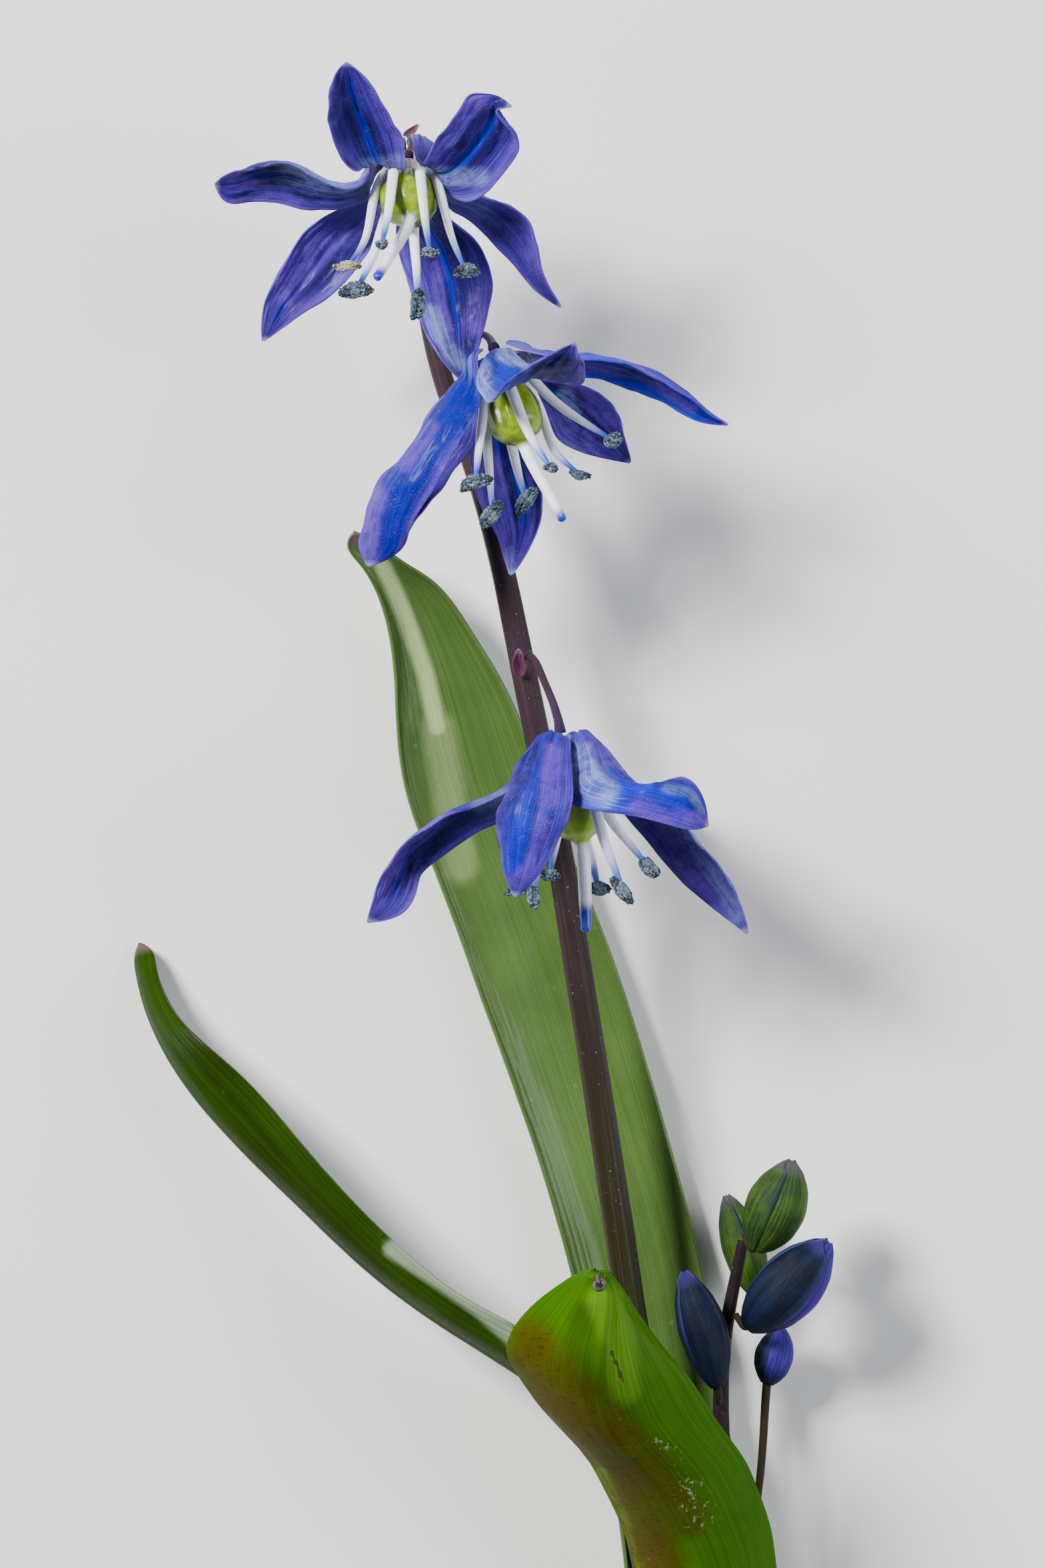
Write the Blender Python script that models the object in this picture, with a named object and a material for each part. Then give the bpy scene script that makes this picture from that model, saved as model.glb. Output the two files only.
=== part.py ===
"""Siberian squill, one picked plant laid on its back: three leaves, a flower stem with three
open nodding flowers, and a young stem in bud beside it.

Row frame: metres, +Z up from the surface that the plant lies on, +Y towards the flower tips,
+X to the right of somebody who looks down on it.  Lengths below are in millimetres.
"""
import math

import bpy
import numpy as np

# ---------------------------------------------------------------- driving dimensions (mm)
UNIT = 25.0              # view units in one millimetre
EYE = 450.0              # height of the viewpoint over the reference level
LEVEL = 10.0             # reference level above the surface
MIDDLE = (784.0, 1176.0)  # view centre, in view units
SHIFT = (-2.595, -8.7, 0.13)    # from the view centre to the row origin
GAP = 0.08               # clearance between neighbouring pieces

TEPAL_THICK = 0.34
LEAF_THICK = 0.62
SCAPE_R = 0.80
PEDICEL_R = 0.24
OVARY_R = 1.72

# ---- shared geometry: begin
def at(u, v, z):
    """Point (mm, row frame) at height z that is seen at view position (u, v)."""
    k = (EYE + LEVEL - z) / EYE / UNIT
    return np.array([(u - MIDDLE[0]) * k - SHIFT[0], (MIDDLE[1] - v) * k - SHIFT[1], z - SHIFT[2]])


def unit(a):
    a = np.asarray(a, float)
    return a / max(np.linalg.norm(a), 1e-12)


def rows_unit(a):
    return a / np.maximum(np.linalg.norm(a, axis=-1, keepdims=True), 1e-12)


def profile(knots, t):
    """Smooth monotone curve through (t, value) knots."""
    x = np.array([k[0] for k in knots], float)
    y = np.array([k[1] for k in knots], float)
    t = np.clip(np.asarray(t, float), x[0], x[-1])
    if len(x) == 1:
        return np.full_like(t, y[0])
    d = np.diff(y) / np.diff(x)
    m = np.empty(len(x))
    m[0], m[-1] = d[0], d[-1]
    for i in range(1, len(x) - 1):
        m[i] = 0.0 if d[i - 1] * d[i] <= 0 else 2 * d[i - 1] * d[i] / (d[i - 1] + d[i])
    i = np.clip(np.searchsorted(x, t, side="right") - 1, 0, len(x) - 2)
    h = x[i + 1] - x[i]
    s = (t - x[i]) / h
    return ((2 * s**3 - 3 * s**2 + 1) * y[i] + (s**3 - 2 * s**2 + s) * h * m[i]
            + (-2 * s**3 + 3 * s**2) * y[i + 1] + (s**3 - s**2) * h * m[i + 1])


def path(points, t):
    """Natural cubic spline through the points, read at arc-length shares t.  Returns points, tangents, length."""
    p = np.array(points, float)
    n = len(p)
    x = np.concatenate([[0], np.cumsum(np.linalg.norm(np.diff(p, axis=0), axis=1) ** 0.5)])
    if n == 2:
        q = np.linspace(0, 1, 400)[:, None]
        dense = p[0] * (1 - q) + p[1] * q
    else:
        h = np.diff(x)
        a = np.zeros((n, n))
        b = np.zeros((n, 3))
        a[0, 0] = a[-1, -1] = 1
        for i in range(1, n - 1):
            a[i, i - 1], a[i, i], a[i, i + 1] = h[i - 1], 2 * (h[i - 1] + h[i]), h[i]
            b[i] = 6 * ((p[i + 1] - p[i]) / h[i] - (p[i] - p[i - 1]) / h[i - 1])
        m = np.linalg.solve(a, b)
        q = np.linspace(x[0], x[-1], 500)
        i = np.clip(np.searchsorted(x, q, side="right") - 1, 0, n - 2)
        u, w = (x[i + 1] - q)[:, None], (q - x[i])[:, None]
        hh = h[i][:, None]
        dense = (m[i] * u**3 + m[i + 1] * w**3) / (6 * hh) + (p[i] / hh - m[i] * hh / 6) * u + (p[i + 1] / hh - m[i + 1] * hh / 6) * w
    s = np.concatenate([[0], np.cumsum(np.linalg.norm(np.diff(dense, axis=0), axis=1))])
    g = np.gradient(dense, s, axis=0)
    want = np.asarray(t, float) * s[-1]
    pos = np.stack([np.interp(want, s, dense[:, k]) for k in range(3)], 1)
    tan = rows_unit(np.stack([np.interp(want, s, g[:, k]) for k in range(3)], 1))
    return pos, tan, s[-1]


def turned(v, axis, angle):
    """Rows of v turned about rows of axis by angle (radians)."""
    c, s = np.cos(angle)[:, None], np.sin(angle)[:, None]
    return v * c + np.cross(axis, v) * s + axis * np.sum(axis * v, 1, keepdims=True) * (1 - c)


def grid_solid(top, bottom):
    """Closed body between two point grids of the same shape (rows along, columns across)."""
    a, b = top.shape[:2]
    verts = np.concatenate([top.reshape(-1, 3), bottom.reshape(-1, 3)])
    o = a * b
    f = []
    for i in range(a - 1):
        for j in range(b - 1):
            p, q, r, s = i * b + j, i * b + j + 1, (i + 1) * b + j + 1, (i + 1) * b + j
            f.append((p, s, r, q))
            f.append((o + p, o + q, o + r, o + s))
    for i in range(a - 1):
        p, s = i * b, (i + 1) * b
        f.append((p, o + p, o + s, s))
        p, s = i * b + b - 1, (i + 1) * b + b - 1
        f.append((p, s, o + s, o + p))
    for j in range(b - 1):
        f.append((j, j + 1, o + j + 1, o + j))
        p = (a - 1) * b + j
        f.append((p, o + p, o + p + 1, p + 1))
    return verts, f


def stations(rows, base=None):
    """Rows of view positions to left, middle and right margin points (mm).  Seven numbers: left point, right point and how
    far the midrib lies behind their chord.  Nine: left, right and midrib points.  Three: the tip."""
    out = list(base or [])
    for r in rows:
        if len(r) == 3:
            p = at(*r)
            side = unit(out[-1][2] - out[-1][0]) * 0.09
            out.append([p - side, p, p + side])
        elif len(r) == 9:
            out.append([at(*r[:3]), at(*r[6:]), at(*r[3:6])])
        else:
            a, b = at(*r[:3]), at(*r[3:6])
            out.append([a, ((a + b) / 2, r[6]), b])
    return out


def rails(rows, facing, nt, ns, thick, base=None, edge=0.5, curl=0.0, ruffle=(0.0, 3.0, 0.0), bow=1.0):
    """A leaf or tepal between margins.  facing: rough direction of the inner face.  Returns the inner and outer point
    grids, the normals, the (t, s) grids and the length of the midrib."""
    st = stations(rows, base)
    # midribs given as a depth behind the chord
    mids = [p[1][0] if isinstance(p[1], tuple) else p[1] for p in st]
    for i, p in enumerate(st):
        if isinstance(p[1], tuple):
            along = unit(mids[min(i + 1, len(st) - 1)] - mids[max(i - 1, 0)])
            n = unit(np.cross(along, p[2] - p[0]))
            n = n if np.dot(n, facing) > 0 else -n
            p[1] = p[1][0] - n * p[1][1]
    g = np.array([[np.asarray(q, float) for q in p] for p in st])
    m = g[:, 1]
    x = np.concatenate([[0], np.cumsum(np.linalg.norm(np.diff(g.mean(1), axis=0), axis=1) ** 0.7)])
    n = len(x)
    h = np.diff(x)
    a = np.zeros((n, n))
    b = np.zeros((n, 9))
    flat = g.reshape(n, 9)
    a[0, 0] = a[-1, -1] = 1
    for i in range(1, n - 1):
        a[i, i - 1], a[i, i], a[i, i + 1] = h[i - 1], 2 * (h[i - 1] + h[i]), h[i]
        b[i] = 6 * ((flat[i + 1] - flat[i]) / h[i] - (flat[i] - flat[i - 1]) / h[i - 1])
    k = np.linalg.solve(a, b)
    q = np.linspace(x[0], x[-1], 600)
    i = np.clip(np.searchsorted(x, q, side="right") - 1, 0, n - 2)
    u, w = (x[i + 1] - q)[:, None], (q - x[i])[:, None]
    hh = h[i][:, None]
    dense = (k[i] * u**3 + k[i + 1] * w**3) / (6 * hh) + (flat[i] / hh - k[i] * hh / 6) * u + (flat[i + 1] / hh - k[i + 1] * hh / 6) * w
    run = np.concatenate([[0], np.cumsum(np.linalg.norm(np.diff(dense[:, 3:6], axis=0), axis=1))])
    tl = np.linspace(0, 1, nt + 1)
    tl = 1 - (1 - tl) ** 1.12
    rail = np.stack([np.interp(tl * run[-1], run, dense[:, c]) for c in range(9)], 1)
    s = np.sin(np.linspace(-1, 1, ns + 1) * 1.25) / math.sin(1.25)
    tt, ss = np.meshgrid(tl, s, indexing="ij")
    L, M, R = rail[:, None, 0:3], rail[:, None, 3:6], rail[:, None, 6:9]
    S = ss[..., None]
    power = np.abs(S) ** (2.0 * bow)
    top = M + S * (R - L) / 2 + power * ((R + L) / 2 - M)
    dt = np.gradient(top, axis=0)
    ds = np.gradient(top, axis=1)
    nn = np.cross(dt, ds)
    # near the tip the sections shrink: reuse the last sound row
    nn = rows_unit(nn)
    sign = 1.0 if np.sum(nn.mean((0, 1)) * facing) > 0 else -1.0
    nn = nn * sign
    width = np.linalg.norm(R - L, axis=-1)[..., None]
    if curl or ruffle[0]:
        env = np.clip(width[..., 0] / max(width.max(), 1e-6), 0, 1)
        e = np.clip((np.abs(ss) - 0.55) / 0.45, 0, 1)
        lift = curl * env * e * e
        lift = lift + ruffle[0] * env * np.abs(ss) ** 2.2 * (np.sin(2 * np.pi * ruffle[1] * tt + ruffle[2] + 1.3 * np.sign(ss))
                                                             + 0.4 * np.sin(2 * np.pi * ruffle[1] * 2.3 * tt + 2.1 * ruffle[2] - 0.7 * np.sign(ss)))
        top = top + nn * lift[..., None]
        nn = rows_unit(np.cross(np.gradient(top, axis=0), np.gradient(top, axis=1))) * sign
    th = thick * (edge + (1 - edge) * (1 - ss**2)) * (1 - 0.35 * np.clip((tt - 0.75) / 0.25, 0, 1) ** 2)
    bottom = top - nn * th[..., None]
    return top, bottom, nn, tt, ss, run[-1]


def tube(points, radius, nt, na, flat=1.0, flat_dir=(0, 0, 1), lobes=(0, 0.0), t=None, round_end=False):
    """Closed tube.  radius: knots (t, r).  flat: how thin it is along flat_dir.  lobes: (count, depth knots)."""
    t = np.linspace(0, 1, nt + 1) if t is None else np.asarray(t)
    c, tan, _ = path(points, t)
    n = np.broadcast_to(np.asarray(flat_dir, float), tan.shape)
    n = rows_unit(n - np.sum(n * tan, 1, keepdims=True) * tan)
    w = np.cross(tan, n)
    r = profile(radius, t)
    a = np.linspace(0, 2 * np.pi, na, endpoint=False)
    lob = 1.0
    if lobes[0]:
        depth = profile(lobes[1], t)[:, None]
        lob = 1 - depth * np.abs(np.cos(lobes[0] * a / 2.0))[None] ** 6
    ring = c[:, None] + (r[:, None] * lob * np.cos(a)[None])[..., None] * w[:, None] + (r[:, None] * lob * np.sin(a)[None] * flat)[..., None] * n[:, None]
    verts = np.concatenate([ring.reshape(-1, 3), c[:1], c[-1:]])
    f = []
    m = len(t)
    for i in range(m - 1):
        for j in range(na):
            k = (j + 1) % na
            f.append((i * na + j, i * na + k, (i + 1) * na + k, (i + 1) * na + j))
    for j in range(na):
        k = (j + 1) % na
        f.append((m * na, k, j))
        f.append((m * na + 1, (m - 1) * na + j, (m - 1) * na + k))
    return verts, f


def egg(centre, long_dir, long_half, wide_half, deep_half, deep_dir, n_long, n_round, bend=0.0):
    """Closed oblong body with rounded ends."""
    d, e = unit(long_dir), np.asarray(deep_dir, float)
    e = unit(e - np.dot(e, d) * d)
    g = np.cross(d, e)
    lat = np.linspace(0, np.pi, n_long + 1)[1:-1]
    a = np.linspace(0, 2 * np.pi, n_round, endpoint=False)
    z = np.cos(lat)
    r = np.sin(lat) ** 0.75
    ring = (np.asarray(centre) - d * (long_half * z)[:, None])[:, None] + (r[:, None] * np.cos(a) * wide_half)[..., None] * g + (r[:, None] * np.sin(a) * deep_half)[..., None] * e
    ring = ring + e * (bend * (1 - z**2))[:, None, None]
    verts = np.concatenate([ring.reshape(-1, 3), [np.asarray(centre) - d * long_half, np.asarray(centre) + d * long_half]])
    m = len(lat)
    f = []
    for i in range(m - 1):
        for j in range(n_round):
            k = (j + 1) % n_round
            f.append((i * n_round + j, i * n_round + k, (i + 1) * n_round + k, (i + 1) * n_round + j))
    for j in range(n_round):
        k = (j + 1) % n_round
        f.append((m * n_round, k, j))
        f.append((m * n_round + 1, (m - 1) * n_round + j, (m - 1) * n_round + k))
    return verts, f


# ---- the plant: begin
SCAPE = [(1048, 2640, 3.5), (1030, 2500, 3.7), (1008, 2352, 4.1), (978, 2160, 4.8), (949, 1982, 5.6), (922, 1800, 6.3), (875, 1500, 7.1),
         (841, 1290, 7.5), (805, 1100, 7.6), (780, 977, 7.6), (745, 815, 7.4), (706, 684, 7.0), (664, 566, 6.6), (641, 470, 6.4),
         (626, 370, 6.6), (618, 290, 7.6), (616, 230, 8.6)]

# receptacle, middle of the ovary, tip of the style, and turn of the tepals round the axis, of each flower
FLOWERS = {
    "top": dict(at=(612, 240, 12.4), ovary=(613, 298, 15.2), style=(565, 418, 20.4), turn=0.0),
    "middle": dict(at=(744, 532, 13.2), ovary=(772, 622, 14.0), style=(846, 781, 15.6), turn=-30.0),
    "lower": dict(at=(845, 1112, 12.6), ovary=(864, 1216, 12.9), style=(880, 1398, 13.2), turn=-5.0),
}
PEDICELS = {
    "top": [(617, 213, 9.4), (618, 217, 10.3), (616, 226, 11.3), (613, 233, 11.8)],
    "middle": [(666, 512, 7.2), (686, 504, 7.7), (712, 500, 8.4), (731, 505, 10.2), (738, 514, 11.8), (741, 522, 12.8)],
    "lower": [(792, 982, 9.0), (803, 992, 10.0), (815, 1018, 11.5), (829, 1052, 12.4), (838, 1082, 12.7), (841, 1099, 12.65)],
}

# margins of the tepals from the receptacle outwards: left point, right point, depth of the midrib behind the chord
TEPALS = {
    "top": [
        [(545, 276, 16.6, 542, 303, 13.4, 0.5), (471, 267, 17.6, 471, 316, 13.8, 0.7), (414, 244, 17.4, 415, 305, 14.0, 0.7), (365, 256, 16.6, 362, 306, 14.2, 0.5),
         (337, 266, 15.9, 335, 300, 14.8, 0.3), (322, 277, 15.3)],
        [(533, 258, 17.0, 607, 257, 16.4, 0.4), (506, 225, 18.8, 606, 224, 18.2, 0.6), (495, 182, 20.0, 589, 182, 19.4, 0.6), (494, 148, 20.7, 570, 150, 20.2, 0.5),
         (501, 116, 21.1, 549, 118, 20.8, 0.25), (520, 94, 21.3)],
        [(632, 249, 16.4, 664, 284, 15.2, 0.4), (650, 223, 18.0, 700, 303, 15.8, 0.6), (672, 190, 19.2, 745, 272, 17.4, 0.6), (692, 160, 20.0, 772, 236, 18.6, 0.5),
         (714, 142, 20.4, 769, 202, 19.6, 0.35), (740, 142, 20.1, 745, 173, 20.1, 0.12), (766, 159, 20.5)],
        [(676, 284, 14.4, 664, 300, 11.8, 0.35), (722, 298, 14.8, 700, 329, 11.8, 0.6), (774, 316, 14.4, 739, 366, 11.6, 0.7), (798, 356, 13.6, 770, 397, 11.4, 0.5),
         (812, 412, 12.4, 798, 432, 11.3, 0.3), (841, 461, 11.2)],
        [(600, 322, 10.4, 660, 312, 10.2, 0.4), (598, 368, 10.0, 705, 352, 9.8, 0.6), (611, 420, 9.9, 734, 404, 9.7, 0.7), (630, 476, 10.0, 736, 452, 9.8, 0.6),
         (655, 526, 10.2, 722, 505, 10.1, 0.4), (682, 562, 10.5, 712, 548, 10.5, 0.15), (709, 578, 10.6)],
        [(545, 300, 12.4, 572, 343, 11.0, 0.35), (494, 324, 12.2, 557, 370, 10.9, 0.5), (450, 358, 11.8, 530, 410, 10.8, 0.6), (418, 408, 11.4, 495, 443, 10.7, 0.5),
         (396, 462, 11.1, 450, 472, 10.8, 0.3), (395, 512, 10.8)],
    ],
    "middle": [
        [(702, 552, 13.6, 722, 584, 15.8, 0.4), (656, 611, 13.8, 700, 645, 16.8, 0.7), (610, 678, 13.9, 668, 702, 17.0, 0.8), (567, 727, 13.9, 640, 750, 16.6, 0.7),
         (547, 780, 14.0, 616, 792, 15.8, 0.5), (541, 822, 14.2, 600, 826, 15.0, 0.25), (554, 850, 14.6)],
        [(722, 552, 15.4, 777, 540, 15.4, 0.6), (718, 580, 17.0, 808, 558, 17.0, 0.9), (726, 599, 18.6, 850, 577, 18.6, 0.9), (733, 603, 19.8, 872, 580, 19.6, 0.8),
         (754, 583, 21.2, 877, 558, 20.8, 0.6), (794, 553, 22.2, 873, 542, 21.8, 0.4), (831, 531, 22.6, 867, 529, 22.4, 0.2), (862, 514, 22.6)],
        [(800, 530, 15.2, 800, 548, 12.9, 0.4), (868, 539, 16.0, 868, 566, 12.6, 0.6), (920, 545, 15.8, 921, 576, 12.2, 0.6), (975, 564, 15.2, 968, 594, 12.2, 0.6),
         (1028, 594, 14.2, 1012, 616, 12.2, 0.5), (1064, 623, 13.2, 1052, 634, 12.3, 0.25), (1092, 638, 12.6)],
        [(800, 562, 11.8, 786, 590, 10.4, 0.4), (852, 574, 11.4, 819, 618, 9.6, 0.6), (900, 594, 10.8, 834, 655, 8.8, 0.7), (924, 620, 10.0, 868, 677, 8.4, 0.6),
         (936, 655, 9.2, 906, 688, 8.2, 0.3), (946, 694, 8.2)],
        [(722, 580, 11.2, 768, 590, 10.8, 0.4), (707, 630, 10.4, 784, 642, 10.0, 0.6), (706, 684, 10.0, 801, 702, 9.6, 0.7), (717, 741, 10.0, 813, 748, 9.6, 0.6),
         (742, 790, 10.3, 806, 792, 10.0, 0.4), (756, 832, 10.6, 788, 832, 10.5, 0.2), (767, 862, 10.8)],
        [(690, 592, 11.8, 716, 606, 11.4, 0.3), (660, 642, 11.6, 712, 657, 11.3, 0.5), (625, 692, 11.6, 684, 702, 11.4, 0.6), (602, 736, 11.9, 652, 744, 11.8, 0.5),
         (590, 775, 12.3, 622, 784, 12.3, 0.25), (600, 812, 12.8)],
    ],
    "lower": [
        [(803, 1132, 13.2, 806, 1156, 11.3, 0.3), (759, 1186, 14.2, 762, 1226, 11.6, 0.6), (705, 1211, 14.8, 715, 1250, 11.8, 0.7), (649, 1241, 14.8, 668, 1281, 11.8, 0.7),
         (600, 1274, 14.2, 634, 1312, 12.0, 0.5), (572, 1320, 13.4, 622, 1347, 12.2, 0.35), (559, 1356, 13.0, 596, 1374, 12.5, 0.2), (552, 1384, 12.7)],
        [(806, 1113, 14.7, 852, 1112, 15.4, 0.4), (777, 1149, 15.8, 858, 1152, 17.3, 0.7), (761, 1186, 16.6, 859, 1192, 18.2, 0.8), (748, 1226, 17.0, 851, 1234, 18.4, 0.9),
         (750, 1270, 17.2, 828, 1278, 18.0, 0.6), (758, 1310, 17.3, 802, 1320, 17.8, 0.3), (773, 1345, 17.6)],
        [(856, 1113, 14.7, 884, 1103, 14.0, 0.4), (855, 1158, 16.0, 918, 1137, 15.0, 0.8), (857, 1203, 17.2, 944, 1167, 16.2, 1.0), (900, 1217, 18.7, 972, 1183, 17.3, 0.8),
         (954, 1225, 19.4, 1004, 1174, 17.9, 0.6), (1000, 1236, 19.4, 1034, 1171, 18.2, 0.5), (1038, 1244, 19.2, 1053, 1194, 18.7, 0.25), (1062, 1238, 19.0)],
        [(872, 1142, 11.6, 896, 1130, 12.8, 0.3), (905, 1190, 11.0, 946, 1174, 13.4, 0.5), (950, 1237, 10.6, 1002, 1218, 13.5, 0.7), (992, 1288, 10.3, 1046, 1262, 13.0, 0.7),
         (1034, 1333, 10.1, 1082, 1312, 12.2, 0.5), (1080, 1371, 10.1, 1110, 1357, 11.0, 0.25), (1121, 1400, 10.4)],
        [(852, 1146, 10.2, 884, 1142, 10.7, 0.3), (868, 1184, 7.0, 944, 1180, 8.2, 0.5), (904, 1204, 3.9, 986, 1200, 5.2, 0.6), (946, 1214, 1.6, 1006, 1211, 2.6, 0.4),
         (998, 1222, 0.5)],
        [(797, 1146, 11.6, 818, 1158, 10.4, 0.25), (757, 1190, 9.9, 785, 1206, 7.9, 0.4), (722, 1214, 7.7, 766, 1226, 5.3, 0.5), (704, 1226, 5.6, 742, 1234, 4.0, 0.3),
         (708, 1237, 3.4)],
    ],
}

# stamens, in the order of the tepals: two points on the free arm, middle of the anther, its half length and half width (mm), its direction in view
STAMENS = {
    "top": [
        dict(start=(561, 297, 15.5), arm=(548, 358, 17.2), anther=(521, 399, 18.6), size=(0.80, 0.26), dir=(-1, 0.12, 0.1)),
        dict(start=(590, 260, 16.6), arm=(584, 309, 17.9), anther=(573, 366, 20.4), size=(0.34, 0.24), dir=(1, 0.2, 0)),
        dict(start=(632, 274, 17.3), arm=(637, 324, 18.4), anther=(645, 379, 19.8), size=(0.60, 0.26), dir=(1, 0.15, 0)),
        dict(start=(661, 290, 16.1), arm=(676, 350, 16.6), anther=(700, 408, 17.4), size=(0.72, 0.40), dir=(1, 0.1, 0)),
        dict(start=(621, 345, 14.0), arm=(624, 390, 15.2), anther=(627, 457, 17.0), size=(0.92, 0.45), dir=(0.35, 1, 0)),
        dict(start=(572, 347, 14.8), arm=(558, 388, 16.0), anther=(534, 437, 17.6), size=(1.02, 0.45), dir=(-1, -0.12, 0.1)),
    ],
    "middle": [
        dict(start=(726, 602, 14.6), arm=(720, 660, 15.6), anther=(713, 723, 17.0), size=(1.0, 0.42), dir=(1, 0.5, 0)),
        dict(start=(772, 598, 16.2), arm=(794, 651, 17.2), anther=(827, 702, 18.4), size=(0.42, 0.26), dir=(1, -0.3, 0)),
        dict(start=(819, 590, 15.0), arm=(860, 623, 15.6), anther=(920, 660, 16.4), size=(0.5, 0.42), dir=(1, 0.2, 0)),
        dict(start=(816, 631, 12.6), arm=(831, 674, 13.0), anther=(870, 711, 13.5), size=(0.68, 0.24), dir=(1, -0.2, 0)),
        dict(start=(766, 657, 12.1), arm=(778, 712, 12.8), anther=(789, 751, 13.6), size=(1.0, 0.4), dir=(0.45, 0.9, 0)),
        dict(start=(730, 651, 12.9), arm=(735, 716, 13.8), anther=(739, 773, 14.4), size=(0.92, 0.45), dir=(0.7, 0.8, 0)),
    ],
    "lower": [
        dict(start=(812, 1216, 12.9), arm=(792, 1262, 12.6), anther=(776, 1337, 12.9), size=(0.8, 0.3), dir=(1, 0.15, 0)),
        dict(start=(838, 1200, 15.0), arm=(814, 1270, 14.6), anther=(801, 1346, 14.6), size=(0.68, 0.36), dir=(0.15, 1, 0)),
        dict(start=(894, 1217, 15.0), arm=(908, 1265, 15.4), anther=(935, 1334, 15.8), size=(1.0, 0.38), dir=(0.6, -0.8, 0)),
        dict(start=(909, 1216, 14.2), arm=(934, 1253, 14.2), anther=(974, 1301, 14.2), size=(0.7, 0.44), dir=(0.8, -0.5, 0)),
        dict(start=(874, 1240, 10.9), arm=(886, 1284, 11.4), anther=(898, 1334, 12.2), size=(0.72, 0.38), dir=(1, 0.1, 0)),
        dict(start=(838, 1225, 10.9), arm=(832, 1270, 10.8), anther=(825, 1313, 11.2), size=(0.6, 0.34), dir=(1, -0.3, 0)),
    ],
}

# margins of the leaves from the cut upwards; nine numbers give the midrib as a point
LEAVES = {
    "leaf_rear": dict(facing=(0, 0, 1), bow=1.25, rows=[
        (966, 2640, 3.5, 1154, 2640, 3.5, 1060, 2640, 0.75), (956, 2500, 3.3, 1146, 2500, 3.3, 1052, 2500, 0.75), (940, 2352, 3.0, 1126, 2352, 3.0, 1034, 2352, 0.75),
        (905, 2110, 2.6, 1082, 2105, 2.6, 994, 2110, 0.75), (864, 1918, 2.2, 1054, 1914, 2.2, 958, 1916, 0.75), (820, 1764, 2.0, 1018, 1772, 2.0, 919, 1768, 0.75),
        (768, 1620, 1.9, 980, 1640, 1.9, 874, 1630, 0.8), (711, 1460, 1.9, 926, 1468, 1.9, 819, 1464, 0.85), (660, 1320, 2.0, 871, 1322, 2.0, 766, 1321, 0.95),
        (614, 1190, 2.3, 812, 1172, 2.3, 713, 1181, 1.2), (598, 1080, 2.8, 764, 1048, 2.8, 681, 1064, 1.7), (590, 975, 3.5, 708, 952, 3.5, 649, 964, 2.5),
        (570, 895, 4.3, 651, 878, 4.3, 611, 886, 3.6), (542, 846, 5.1, 598, 842, 5.1, 570, 844, 4.7), (523, 816, 5.6, 558, 811, 5.6, 540, 814, 5.4), (532, 800, 5.8)]),
    "leaf_left": dict(facing=(0.5, 0.7, -0.2), rows=[
        (1034, 2640, 1.9, 1034, 2640, 5.3, 1002, 2640, 3.7), (1014, 2500, 2.2, 1014, 2500, 5.8, 987, 2500, 4.1), (990, 2350, 2.7, 992, 2345, 6.4, 966, 2352, 4.7),
        (948, 2186, 3.6, 952, 2176, 7.4, 922, 2206, 5.7), (878, 2076, 4.3, 880, 2066, 8.3, 856, 2106, 6.4), (798, 2008, 4.7, 792, 1998, 8.6, 776, 2044, 6.7),
        (712, 1956, 4.7, 705, 1948, 8.6, 684, 1986, 6.7), (610, 1882, 4.5, 602, 1873, 8.3, 572, 1904, 6.4), (482, 1748, 3.8, 474, 1740, 7.4, 447, 1788, 5.5),
        (374, 1629, 2.9, 366, 1616, 6.0, 328, 1668, 4.4), (300, 1560, 2.1, 292, 1549, 4.9, 262, 1578, 3.4), (254, 1502, 1.2, 250, 1496, 3.2, 228, 1508, 2.1),
        (236, 1454, 0.6, 235, 1449, 1.9, 214, 1460, 1.2), (228, 1431, 0.45, 229, 1427, 1.1, 211, 1434, 0.75), (216, 1416, 0.55)]),
    "leaf_front": dict(facing=(0, 0, -1), bow=0.85, rows=[
        (970, 2640, 4.5, 1152, 2640, 4.5, 1064, 2640, 7.3), (966, 2500, 5.3, 1158, 2500, 4.8, 1064, 2500, 8.4), (956, 2350, 7.2, 1159, 2350, 5.8, 1052, 2352, 10.2),
        (930, 2268, 9.2, 1143, 2262, 7.7, 1014, 2265, 12.6), (892, 2192, 11.4, 1118, 2196, 9.9, 970, 2200, 15.0), (840, 2138, 13.6, 1080, 2142, 12.2, 926, 2152, 17.2),
        (785, 2066, 15.9, 1036, 2080, 14.6, 898, 2094, 19.3), (765, 2018, 17.6, 988, 2018, 16.5, 893, 2040, 20.8), (797, 1964, 19.2, 946, 1958, 18.5, 901, 1984, 21.4),
        (836, 1932, 20.2, 926, 1928, 19.8, 905, 1946, 21.9), (866, 1914, 21.0, 914, 1912, 20.8, 900, 1918, 22.2), (885, 1909, 21.6, 907, 1909, 21.5, 897, 1911, 22.7), (897, 1922, 23.1)]),
}
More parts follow.
